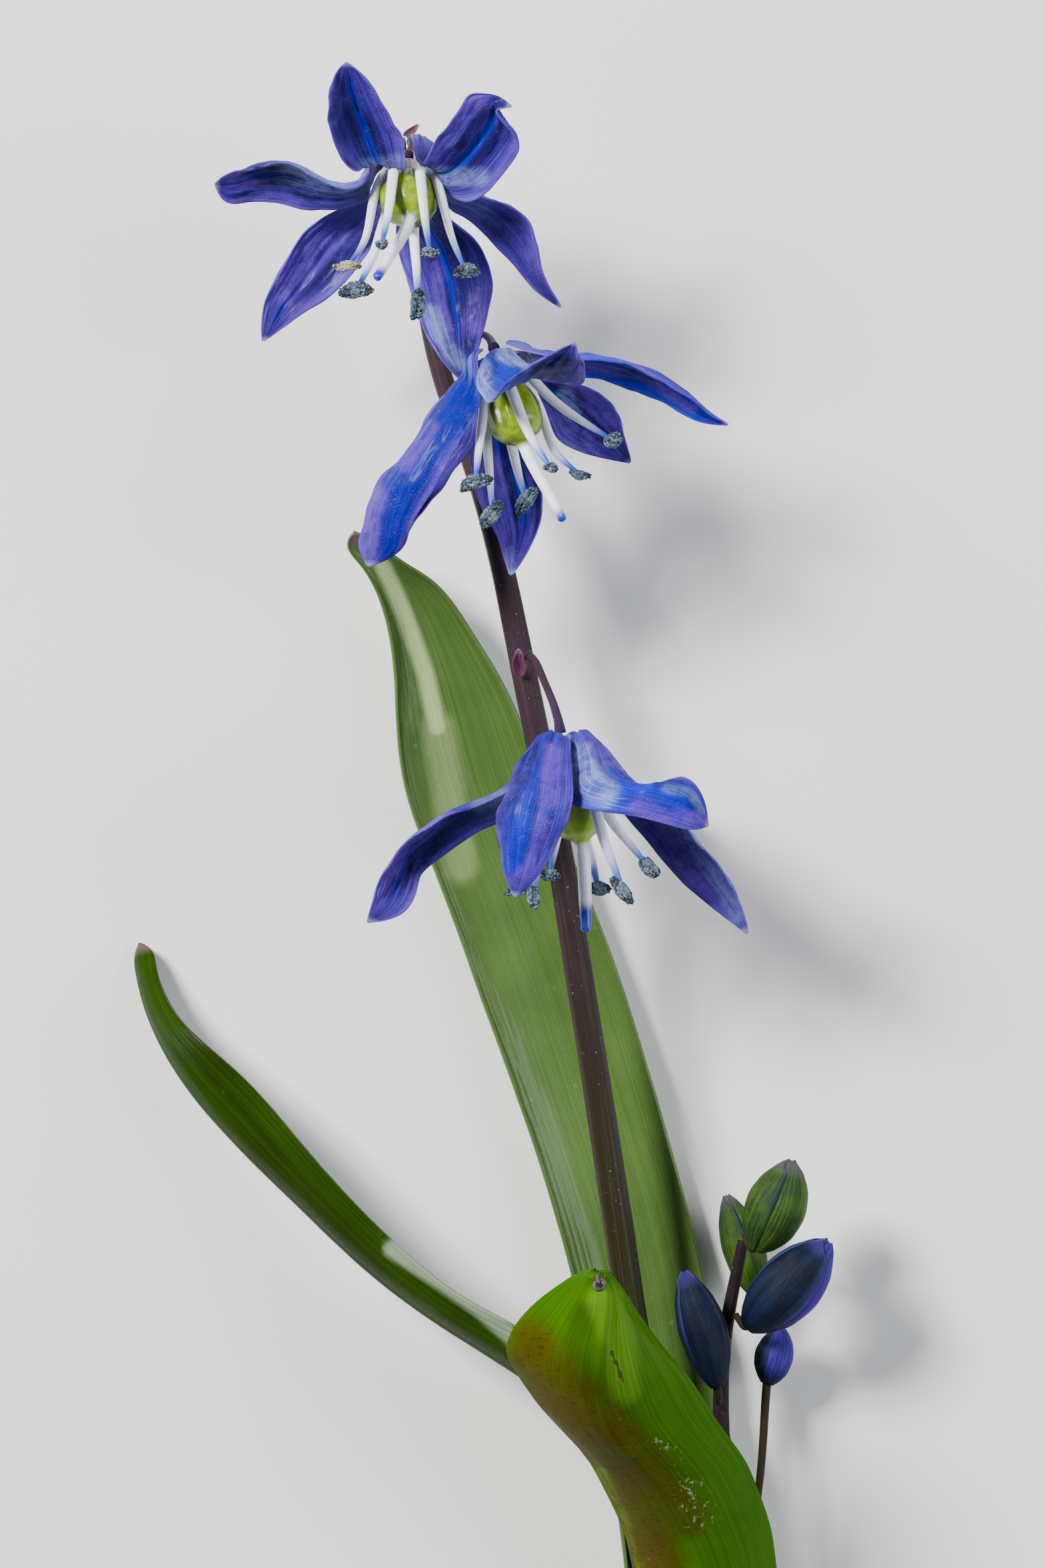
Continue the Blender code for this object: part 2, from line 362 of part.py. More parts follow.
# young stem in bud: its line, and each bud as base, tip, half width (mm) and colour; then the line of its stalk
YOUNG = [(1106, 2640, 3.3), (1098, 2500, 3.3), (1090, 2352, 3.5), (1084, 2200, 4.0), (1082, 2080, 4.4), (1090, 1990, 4.7), (1106, 1905, 5.0), (1115, 1862, 5.2)]
BUDS = {
    "1": dict(base=(1134, 1874, 6.6), tip=(1190, 1742, 7.8), wide=1.68, colour="bud_green", stalk=[(1117, 1850, 5.4), (1123, 1866, 5.6), (1130, 1873, 6.1)]),
    "2": dict(base=(1134, 1942, 2.6), tip=(1090, 1794, 2.6), wide=1.15, colour="bud_green", stalk=[(1112, 1984, 3.7), (1122, 1964, 3.2)]),
    "3": dict(base=(1122, 1990, 6.6), tip=(1242, 1862, 8.4), wide=1.8, colour="bud_blue", stalk=[(1104, 1972, 5.2), (1112, 1984, 5.6), (1119, 1990, 6.2)]),
    "4": dict(base=(1077, 2080, 6.1), tip=(1026, 1908, 6.4), wide=1.3, colour="bud_blue", stalk=[(1078, 2104, 5.3), (1078, 2092, 5.8)]),
    "5": dict(base=(1150, 2076, 3.4), tip=(1172, 1990, 3.2), wide=1.05, colour="bud_blue",
              stalk=[(1104, 2400, 4.4), (1126, 2310, 4.1), (1142, 2200, 3.7), (1148, 2110, 3.4)]),
}
BRACTS = {
    "top": dict(facing=(0.3, 0.3, 1), rows=[(604, 204, 10.0, 612, 210, 10.1, 0.1), (606, 200, 10.4, 617, 206, 10.4, 0.12), (614, 194, 10.9, 622, 199, 10.9, 0.1), (627, 187, 11.2)]),
    "middle": dict(facing=(0.6, 0.3, 0.6), rows=[(666, 496, 7.6, 675, 495, 7.6, 0.1), (665, 487, 7.9, 678, 486, 7.9, 0.12), (667, 477, 8.2, 677, 477, 8.2, 0.1), (673, 467, 8.4)]),
    "lower": dict(facing=(0.3, 0.3, 1), rows=[(774, 1014, 8.9, 784, 1014, 9.0, 0.1), (770, 1002, 9.3, 788, 1002, 9.3, 0.15), (771, 988, 9.7, 786, 988, 9.7, 0.12), (778, 974, 10.0)]),
}


def pts(seq):
    return [at(*p) for p in seq]


def flower_frame(key):
    """Receptacle, axis, two directions across it, tip of the style."""
    c = at(*FLOWERS[key]["at"])
    tip = at(*FLOWERS[key]["style"])
    a = unit(at(*FLOWERS[key]["ovary"]) - c)
    e1 = unit(np.array([1.0, 0, 0]) - a[0] * a)
    return c, a, e1, np.cross(a, e1), tip


def around(key, i):
    """Outward direction of tepal and stamen i."""
    c, a, e1, e2, _ = flower_frame(key)
    w = math.radians(180.0 - 60.0 * i + FLOWERS[key]["turn"])
    return math.cos(w) * e1 + math.sin(w) * e2


def tepal_blade(key, i, nt, ns, thick=TEPAL_THICK, **more):
    rows = TEPALS[key][i]
    c, axis = flower_frame(key)[:2]
    out = around(key, i)
    outer = 1.0 - i % 2
    across = np.cross(axis, out)
    first = stations([rows[0]])[0]
    if np.dot(across, first[2] - first[0]) < 0:
        across = -across
    root = c + out * (0.75 + 0.25 * outer) + axis * (0.1 - 0.35 * outer)
    wide = c + out * (1.75 + 0.15 * outer) + axis * (0.45 - 0.2 * outer)
    base = [[root - across * 0.36, root, root + across * 0.36], [wide - across * 0.85 + axis * 0.1, wide, wide + across * 0.85 + axis * 0.1]]
    return rails(rows, axis * 0.9 - out * 0.5, nt, ns, thick, base=base, **more)


def leaf_blade(name, nt, ns, thick=LEAF_THICK, **more):
    spec = LEAVES[name]
    return rails(spec["rows"], spec["facing"], nt, ns, thick, bow=spec.get("bow", 1.0), **more)


def pistil_parts(key):
    """Points along the pistil, its radius knots and the share of its length that the ovary takes."""
    c, axis, _, _, tip = flower_frame(key)
    o = at(*FLOWERS[key]["ovary"])
    d = np.linalg.norm(o - c)
    foot = o + axis * 2.1
    line = [c + axis * 0.45, o - axis * 1.2, o, foot, foot + (tip - foot) * 0.5 + axis * 0.25, tip]
    length = path(line, [0.0, 1.0])[2]
    r = OVARY_R
    mm = [(0, 0.5), (d - 2.45, 0.95), (d - 1.45, r * 0.86), (d - 0.55, r), (d + 0.15, r * 0.97), (d + 0.9, r * 0.72), (d + 1.4, 0.5), (d + 1.8, 0.33)]
    return line, [(x / length, y) for x, y in mm] + [(0.85, 0.28), (0.96, 0.24), (1, 0.15)], (d + 1.5) / length


def stamen_points(key, i):
    """Filament from the receptacle, past the ovary, to the middle of the anther."""
    c, axis = flower_frame(key)[:2]
    spec = STAMENS[key][i]
    out = around(key, i)
    return [c + out * 1.2 + axis * 0.75, at(*spec["start"]), at(*spec["arm"]), at(*spec["anther"])], out, spec


def bud_points(key):
    """Middle line of a closed bud and its stalk, both as points (mm), and the radius knots of the bud."""
    spec = BUDS[key]
    b, t = at(*spec["base"]), at(*spec["tip"])
    side = unit(np.cross(t - b, (0, 0, 1.0)))
    w = spec["wide"]
    return ([b, b + (t - b) * 0.5 + side * w * 0.08, t], [(0, w * 0.28), (0.1, w * 0.58), (0.3, w * 0.92), (0.5, w), (0.72, w * 0.84), (0.88, w * 0.52), (0.96, w * 0.30), (1, w * 0.12)],
            [at(*q) for q in spec["stalk"]] + [b + (t - b) * 0.04])


# ---- the plant: end
# ---- shared geometry: end


def make(name, verts, faces, colour, rough=0.5):
    mesh = bpy.data.meshes.new(name)
    mesh.from_pydata([tuple(v * 0.001) for v in np.asarray(verts)], [], faces)
    co = np.asarray(verts)
    vol = sum(np.dot(co[f[0]], np.cross(co[f[k]], co[f[k + 1]])) for f in faces for k in range(1, len(f) - 1))
    if vol < 0:
        mesh.flip_normals()
    ob = bpy.data.objects.new(name, mesh)
    bpy.context.scene.collection.objects.link(ob)
    mesh.materials.append(material(colour, rough))
    mesh.shade_smooth()
    mesh.set_sharp_from_angle(angle=math.radians(55))
    return ob


MATERIALS = {}
COLOURS = {"leaf_green": (0.09, 0.26, 0.03), "stem_brown": (0.09, 0.035, 0.04), "petal_blue": (0.08, 0.08, 0.62), "filament_white": (0.80, 0.82, 0.9),
           "ovary_lime": (0.42, 0.6, 0.06), "bract_pink": (0.36, 0.07, 0.16), "bud_blue": (0.03, 0.07, 0.16), "bud_green": (0.12, 0.22, 0.06)}


def material(colour, rough):
    if colour not in MATERIALS:
        m = bpy.data.materials.new(colour)
        m.use_nodes = True
        b = m.node_tree.nodes["Principled BSDF"]
        b.inputs["Base Color"].default_value = (*COLOURS[colour], 1)
        b.inputs["Roughness"].default_value = rough
        b.inputs["Metallic"].default_value = 0.0
        MATERIALS[colour] = m
    return MATERIALS[colour]


def join(body, other):
    """The other body is united with this one: an anther grows on its filament."""
    mod = body.modifiers.new("join", "BOOLEAN")
    mod.operation = "UNION"
    mod.solver = "EXACT"
    mod.object = other
    other.hide_render = True
    other.display_type = "WIRE"


def main():
    for o in list(bpy.data.objects):
        bpy.data.objects.remove(o)
    # stem: a round flower stalk that thins towards the top
    v, f = tube(pts(SCAPE), [(0, 0.98), (0.3, 0.9), (0.6, SCAPE_R), (0.85, 0.62), (1, 0.4)], 32, 10)
    make("scape", v, f, "stem_brown")
    for key in FLOWERS:
        v, f = tube(pts(PEDICELS[key]), [(0, PEDICEL_R), (0.3, PEDICEL_R * 0.92), (0.75, PEDICEL_R), (1, PEDICEL_R * 1.3)], 8, 6)
        make("pedicel_" + key, v, f, "stem_brown")
        v, f = grid_solid(*rails(BRACTS[key]["rows"], BRACTS[key]["facing"], 5, 2, 0.16)[:2])
        make("bract_" + key, v, f, "bract_pink")
        for i in range(6):
            v, f = grid_solid(*tepal_blade(key, i, 11, 4)[:2])
            make(f"tepal_{key}_{i + 1}", v, f, "petal_blue")
            p, out, spec = stamen_points(key, i)
            v, f = tube(p, [(0, 0.28), (0.4, 0.31), (0.8, 0.22), (1, 0.14)], 6, 5, flat=0.6, flat_dir=out)
            fil = make(f"stamen_{key}_{i + 1}", v, f, "filament_white")
            a, b = spec["size"]
            v, f = egg(at(*spec["anther"]), spec["dir"], a, b, b * 0.85, (0, 0, 1), 5, 6)
            join(fil, make(f"anther_{key}_{i + 1}", v, f, "filament_white"))
        p, r, k = pistil_parts(key)
        t = np.concatenate([np.linspace(0, k, 9)[:-1], np.linspace(k, 1, 6)])
        v, f = tube(p, r, 0, 12, t=t)
        make("pistil_" + key, v, f, "ovary_lime")
    v, f = tube(pts(YOUNG), [(0, 0.62), (0.5, 0.55), (1, 0.34)], 16, 8)
    make("scape_young", v, f, "stem_brown")
    for key in BUDS:
        p, r, stalk = bud_points(key)
        v, f = tube(p, r, 9, 12, lobes=(6, [(0, 0.06), (0.5, 0.1), (1, 0.06)]))
        bud = make("bud_" + key, v, f, BUDS[key]["colour"])
        v, f = tube(stalk, [(0, 0.22), (1, 0.26)], 7, 6)
        join(bud, make("bud_stalk_" + key, v, f, BUDS[key]["colour"]))
    for name in LEAVES:
        v, f = grid_solid(*leaf_blade(name, 26, 6)[:2])
        make(name, v, f, "leaf_green")


main()
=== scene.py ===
"""Siberian squill, one picked plant laid on its back, seen from straight above."""
import math

import bpy
import numpy as np
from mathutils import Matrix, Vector


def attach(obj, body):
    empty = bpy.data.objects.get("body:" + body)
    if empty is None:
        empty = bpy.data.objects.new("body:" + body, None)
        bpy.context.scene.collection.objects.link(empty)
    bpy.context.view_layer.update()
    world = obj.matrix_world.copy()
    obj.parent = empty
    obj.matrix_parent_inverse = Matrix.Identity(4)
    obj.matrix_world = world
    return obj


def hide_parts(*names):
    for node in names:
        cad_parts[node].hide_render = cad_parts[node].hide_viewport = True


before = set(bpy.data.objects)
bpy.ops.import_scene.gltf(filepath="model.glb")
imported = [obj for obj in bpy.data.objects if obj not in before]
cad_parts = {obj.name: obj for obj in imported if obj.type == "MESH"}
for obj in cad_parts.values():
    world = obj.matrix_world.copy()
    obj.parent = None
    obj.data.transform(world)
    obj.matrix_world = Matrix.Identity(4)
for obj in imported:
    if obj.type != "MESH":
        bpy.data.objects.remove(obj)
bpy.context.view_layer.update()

# ------------------------------------------------------------------ the plant's dimensions (mm)
UNIT = 25.0              # view units in one millimetre
EYE = 450.0              # height of the viewpoint over the reference level
LEVEL = 10.0             # reference level above the surface
MIDDLE = (784.0, 1176.0)  # view centre, in view units
SHIFT = (-2.595, -8.7, 0.13)    # from the view centre to the row origin
GAP = 0.08               # clearance between neighbouring pieces

TEPAL_THICK = 0.34
LEAF_THICK = 0.62
SCAPE_R = 0.80
PEDICEL_R = 0.24
OVARY_R = 1.72

def at(u, v, z):
    """Point (mm, row frame) at height z that is seen at view position (u, v)."""
    k = (EYE + LEVEL - z) / EYE / UNIT
    return np.array([(u - MIDDLE[0]) * k - SHIFT[0], (MIDDLE[1] - v) * k - SHIFT[1], z - SHIFT[2]])


def unit(a):
    a = np.asarray(a, float)
    return a / max(np.linalg.norm(a), 1e-12)


def rows_unit(a):
    return a / np.maximum(np.linalg.norm(a, axis=-1, keepdims=True), 1e-12)


def profile(knots, t):
    """Smooth monotone curve through (t, value) knots."""
    x = np.array([k[0] for k in knots], float)
    y = np.array([k[1] for k in knots], float)
    t = np.clip(np.asarray(t, float), x[0], x[-1])
    if len(x) == 1:
        return np.full_like(t, y[0])
    d = np.diff(y) / np.diff(x)
    m = np.empty(len(x))
    m[0], m[-1] = d[0], d[-1]
    for i in range(1, len(x) - 1):
        m[i] = 0.0 if d[i - 1] * d[i] <= 0 else 2 * d[i - 1] * d[i] / (d[i - 1] + d[i])
    i = np.clip(np.searchsorted(x, t, side="right") - 1, 0, len(x) - 2)
    h = x[i + 1] - x[i]
    s = (t - x[i]) / h
    return ((2 * s**3 - 3 * s**2 + 1) * y[i] + (s**3 - 2 * s**2 + s) * h * m[i]
            + (-2 * s**3 + 3 * s**2) * y[i + 1] + (s**3 - s**2) * h * m[i + 1])


def path(points, t):
    """Natural cubic spline through the points, read at arc-length shares t.  Returns points, tangents, length."""
    p = np.array(points, float)
    n = len(p)
    x = np.concatenate([[0], np.cumsum(np.linalg.norm(np.diff(p, axis=0), axis=1) ** 0.5)])
    if n == 2:
        q = np.linspace(0, 1, 400)[:, None]
        dense = p[0] * (1 - q) + p[1] * q
    else:
        h = np.diff(x)
        a = np.zeros((n, n))
        b = np.zeros((n, 3))
        a[0, 0] = a[-1, -1] = 1
        for i in range(1, n - 1):
            a[i, i - 1], a[i, i], a[i, i + 1] = h[i - 1], 2 * (h[i - 1] + h[i]), h[i]
            b[i] = 6 * ((p[i + 1] - p[i]) / h[i] - (p[i] - p[i - 1]) / h[i - 1])
        m = np.linalg.solve(a, b)
        q = np.linspace(x[0], x[-1], 500)
        i = np.clip(np.searchsorted(x, q, side="right") - 1, 0, n - 2)
        u, w = (x[i + 1] - q)[:, None], (q - x[i])[:, None]
        hh = h[i][:, None]
        dense = (m[i] * u**3 + m[i + 1] * w**3) / (6 * hh) + (p[i] / hh - m[i] * hh / 6) * u + (p[i + 1] / hh - m[i + 1] * hh / 6) * w
    s = np.concatenate([[0], np.cumsum(np.linalg.norm(np.diff(dense, axis=0), axis=1))])
    g = np.gradient(dense, s, axis=0)
    want = np.asarray(t, float) * s[-1]
    pos = np.stack([np.interp(want, s, dense[:, k]) for k in range(3)], 1)
    tan = rows_unit(np.stack([np.interp(want, s, g[:, k]) for k in range(3)], 1))
    return pos, tan, s[-1]


def turned(v, axis, angle):
    """Rows of v turned about rows of axis by angle (radians)."""
    c, s = np.cos(angle)[:, None], np.sin(angle)[:, None]
    return v * c + np.cross(axis, v) * s + axis * np.sum(axis * v, 1, keepdims=True) * (1 - c)


def grid_solid(top, bottom):
    """Closed body between two point grids of the same shape (rows along, columns across)."""
    a, b = top.shape[:2]
    verts = np.concatenate([top.reshape(-1, 3), bottom.reshape(-1, 3)])
    o = a * b
    f = []
    for i in range(a - 1):
        for j in range(b - 1):
            p, q, r, s = i * b + j, i * b + j + 1, (i + 1) * b + j + 1, (i + 1) * b + j
            f.append((p, s, r, q))
            f.append((o + p, o + q, o + r, o + s))
    for i in range(a - 1):
        p, s = i * b, (i + 1) * b
        f.append((p, o + p, o + s, s))
        p, s = i * b + b - 1, (i + 1) * b + b - 1
        f.append((p, s, o + s, o + p))
    for j in range(b - 1):
        f.append((j, j + 1, o + j + 1, o + j))
        p = (a - 1) * b + j
        f.append((p, o + p, o + p + 1, p + 1))
    return verts, f


def stations(rows, base=None):
    """Rows of view positions to left, middle and right margin points (mm).  Seven numbers: left point, right point and how
    far the midrib lies behind their chord.  Nine: left, right and midrib points.  Three: the tip."""
    out = list(base or [])
    for r in rows:
        if len(r) == 3:
            p = at(*r)
            side = unit(out[-1][2] - out[-1][0]) * 0.09
            out.append([p - side, p, p + side])
        elif len(r) == 9:
            out.append([at(*r[:3]), at(*r[6:]), at(*r[3:6])])
        else:
            a, b = at(*r[:3]), at(*r[3:6])
            out.append([a, ((a + b) / 2, r[6]), b])
    return out


def rails(rows, facing, nt, ns, thick, base=None, edge=0.5, curl=0.0, ruffle=(0.0, 3.0, 0.0), bow=1.0):
    """A leaf or tepal between margins.  facing: rough direction of the inner face.  Returns the inner and outer point
    grids, the normals, the (t, s) grids and the length of the midrib."""
    st = stations(rows, base)
    # midribs given as a depth behind the chord
    mids = [p[1][0] if isinstance(p[1], tuple) else p[1] for p in st]
    for i, p in enumerate(st):
        if isinstance(p[1], tuple):
            along = unit(mids[min(i + 1, len(st) - 1)] - mids[max(i - 1, 0)])
            n = unit(np.cross(along, p[2] - p[0]))
            n = n if np.dot(n, facing) > 0 else -n
            p[1] = p[1][0] - n * p[1][1]
    g = np.array([[np.asarray(q, float) for q in p] for p in st])
    m = g[:, 1]
    x = np.concatenate([[0], np.cumsum(np.linalg.norm(np.diff(g.mean(1), axis=0), axis=1) ** 0.7)])
    n = len(x)
    h = np.diff(x)
    a = np.zeros((n, n))
    b = np.zeros((n, 9))
    flat = g.reshape(n, 9)
    a[0, 0] = a[-1, -1] = 1
    for i in range(1, n - 1):
        a[i, i - 1], a[i, i], a[i, i + 1] = h[i - 1], 2 * (h[i - 1] + h[i]), h[i]
        b[i] = 6 * ((flat[i + 1] - flat[i]) / h[i] - (flat[i] - flat[i - 1]) / h[i - 1])
    k = np.linalg.solve(a, b)
    q = np.linspace(x[0], x[-1], 600)
    i = np.clip(np.searchsorted(x, q, side="right") - 1, 0, n - 2)
    u, w = (x[i + 1] - q)[:, None], (q - x[i])[:, None]
    hh = h[i][:, None]
    dense = (k[i] * u**3 + k[i + 1] * w**3) / (6 * hh) + (flat[i] / hh - k[i] * hh / 6) * u + (flat[i + 1] / hh - k[i + 1] * hh / 6) * w
    run = np.concatenate([[0], np.cumsum(np.linalg.norm(np.diff(dense[:, 3:6], axis=0), axis=1))])
    tl = np.linspace(0, 1, nt + 1)
    tl = 1 - (1 - tl) ** 1.12
    rail = np.stack([np.interp(tl * run[-1], run, dense[:, c]) for c in range(9)], 1)
    s = np.sin(np.linspace(-1, 1, ns + 1) * 1.25) / math.sin(1.25)
    tt, ss = np.meshgrid(tl, s, indexing="ij")
    L, M, R = rail[:, None, 0:3], rail[:, None, 3:6], rail[:, None, 6:9]
    S = ss[..., None]
    power = np.abs(S) ** (2.0 * bow)
    top = M + S * (R - L) / 2 + power * ((R + L) / 2 - M)
    dt = np.gradient(top, axis=0)
    ds = np.gradient(top, axis=1)
    nn = np.cross(dt, ds)
    # near the tip the sections shrink; the normals are only made unit length
    nn = rows_unit(nn)
    sign = 1.0 if np.sum(nn.mean((0, 1)) * facing) > 0 else -1.0
    nn = nn * sign
    width = np.linalg.norm(R - L, axis=-1)[..., None]
    if curl or ruffle[0]:
        env = np.clip(width[..., 0] / max(width.max(), 1e-6), 0, 1)
        e = np.clip((np.abs(ss) - 0.55) / 0.45, 0, 1)
        lift = curl * env * e * e
        lift = lift + ruffle[0] * env * np.abs(ss) ** 2.2 * (np.sin(2 * np.pi * ruffle[1] * tt + ruffle[2] + 1.3 * np.sign(ss))
                                                             + 0.4 * np.sin(2 * np.pi * ruffle[1] * 2.3 * tt + 2.1 * ruffle[2] - 0.7 * np.sign(ss)))
        top = top + nn * lift[..., None]
        nn = rows_unit(np.cross(np.gradient(top, axis=0), np.gradient(top, axis=1))) * sign
    th = thick * (edge + (1 - edge) * (1 - ss**2)) * (1 - 0.35 * np.clip((tt - 0.75) / 0.25, 0, 1) ** 2)
    bottom = top - nn * th[..., None]
    return top, bottom, nn, tt, ss, run[-1]


def tube(points, radius, nt, na, flat=1.0, flat_dir=(0, 0, 1), lobes=(0, 0.0), t=None, round_end=False):
    """Closed tube.  radius: knots (t, r).  flat: how thin it is along flat_dir.  lobes: (count, depth knots)."""
    t = np.linspace(0, 1, nt + 1) if t is None else np.asarray(t)
    c, tan, _ = path(points, t)
    n = np.broadcast_to(np.asarray(flat_dir, float), tan.shape)
    n = rows_unit(n - np.sum(n * tan, 1, keepdims=True) * tan)
    w = np.cross(tan, n)
    r = profile(radius, t)
    a = np.linspace(0, 2 * np.pi, na, endpoint=False)
    lob = 1.0
    if lobes[0]:
        depth = profile(lobes[1], t)[:, None]
        lob = 1 - depth * np.abs(np.cos(lobes[0] * a / 2.0))[None] ** 6
    ring = c[:, None] + (r[:, None] * lob * np.cos(a)[None])[..., None] * w[:, None] + (r[:, None] * lob * np.sin(a)[None] * flat)[..., None] * n[:, None]
    verts = np.concatenate([ring.reshape(-1, 3), c[:1], c[-1:]])
    f = []
    m = len(t)
    for i in range(m - 1):
        for j in range(na):
            k = (j + 1) % na
            f.append((i * na + j, i * na + k, (i + 1) * na + k, (i + 1) * na + j))
    for j in range(na):
        k = (j + 1) % na
        f.append((m * na, k, j))
        f.append((m * na + 1, (m - 1) * na + j, (m - 1) * na + k))
    return verts, f


def egg(centre, long_dir, long_half, wide_half, deep_half, deep_dir, n_long, n_round, bend=0.0):
    """Closed oblong body with rounded ends."""
    d, e = unit(long_dir), np.asarray(deep_dir, float)
    e = unit(e - np.dot(e, d) * d)
    g = np.cross(d, e)
    lat = np.linspace(0, np.pi, n_long + 1)[1:-1]
    a = np.linspace(0, 2 * np.pi, n_round, endpoint=False)
    z = np.cos(lat)
    r = np.sin(lat) ** 0.75
    ring = (np.asarray(centre) - d * (long_half * z)[:, None])[:, None] + (r[:, None] * np.cos(a) * wide_half)[..., None] * g + (r[:, None] * np.sin(a) * deep_half)[..., None] * e
    ring = ring + e * (bend * (1 - z**2))[:, None, None]
    verts = np.concatenate([ring.reshape(-1, 3), [np.asarray(centre) - d * long_half, np.asarray(centre) + d * long_half]])
    m = len(lat)
    f = []
    for i in range(m - 1):
        for j in range(n_round):
            k = (j + 1) % n_round
            f.append((i * n_round + j, i * n_round + k, (i + 1) * n_round + k, (i + 1) * n_round + j))
    for j in range(n_round):
        k = (j + 1) % n_round
        f.append((m * n_round, k, j))
        f.append((m * n_round + 1, (m - 1) * n_round + j, (m - 1) * n_round + k))
    return verts, f


# ------------------------------------------------------------------ the plant
SCAPE = [(1048, 2640, 3.5), (1030, 2500, 3.7), (1008, 2352, 4.1), (978, 2160, 4.8), (949, 1982, 5.6), (922, 1800, 6.3), (875, 1500, 7.1),
         (841, 1290, 7.5), (805, 1100, 7.6), (780, 977, 7.6), (745, 815, 7.4), (706, 684, 7.0), (664, 566, 6.6), (641, 470, 6.4),
         (626, 370, 6.6), (618, 290, 7.6), (616, 230, 8.6)]

# receptacle, middle of the ovary, tip of the style, and turn of the tepals round the axis, of each flower
FLOWERS = {
    "top": dict(at=(612, 240, 12.4), ovary=(613, 298, 15.2), style=(565, 418, 20.4), turn=0.0),
    "middle": dict(at=(744, 532, 13.2), ovary=(772, 622, 14.0), style=(846, 781, 15.6), turn=-30.0),
    "lower": dict(at=(845, 1112, 12.6), ovary=(864, 1216, 12.9), style=(880, 1398, 13.2), turn=-5.0),
}
PEDICELS = {
    "top": [(617, 213, 9.4), (618, 217, 10.3), (616, 226, 11.3), (613, 233, 11.8)],
    "middle": [(666, 512, 7.2), (686, 504, 7.7), (712, 500, 8.4), (731, 505, 10.2), (738, 514, 11.8), (741, 522, 12.8)],
    "lower": [(792, 982, 9.0), (803, 992, 10.0), (815, 1018, 11.5), (829, 1052, 12.4), (838, 1082, 12.7), (841, 1099, 12.65)],
}

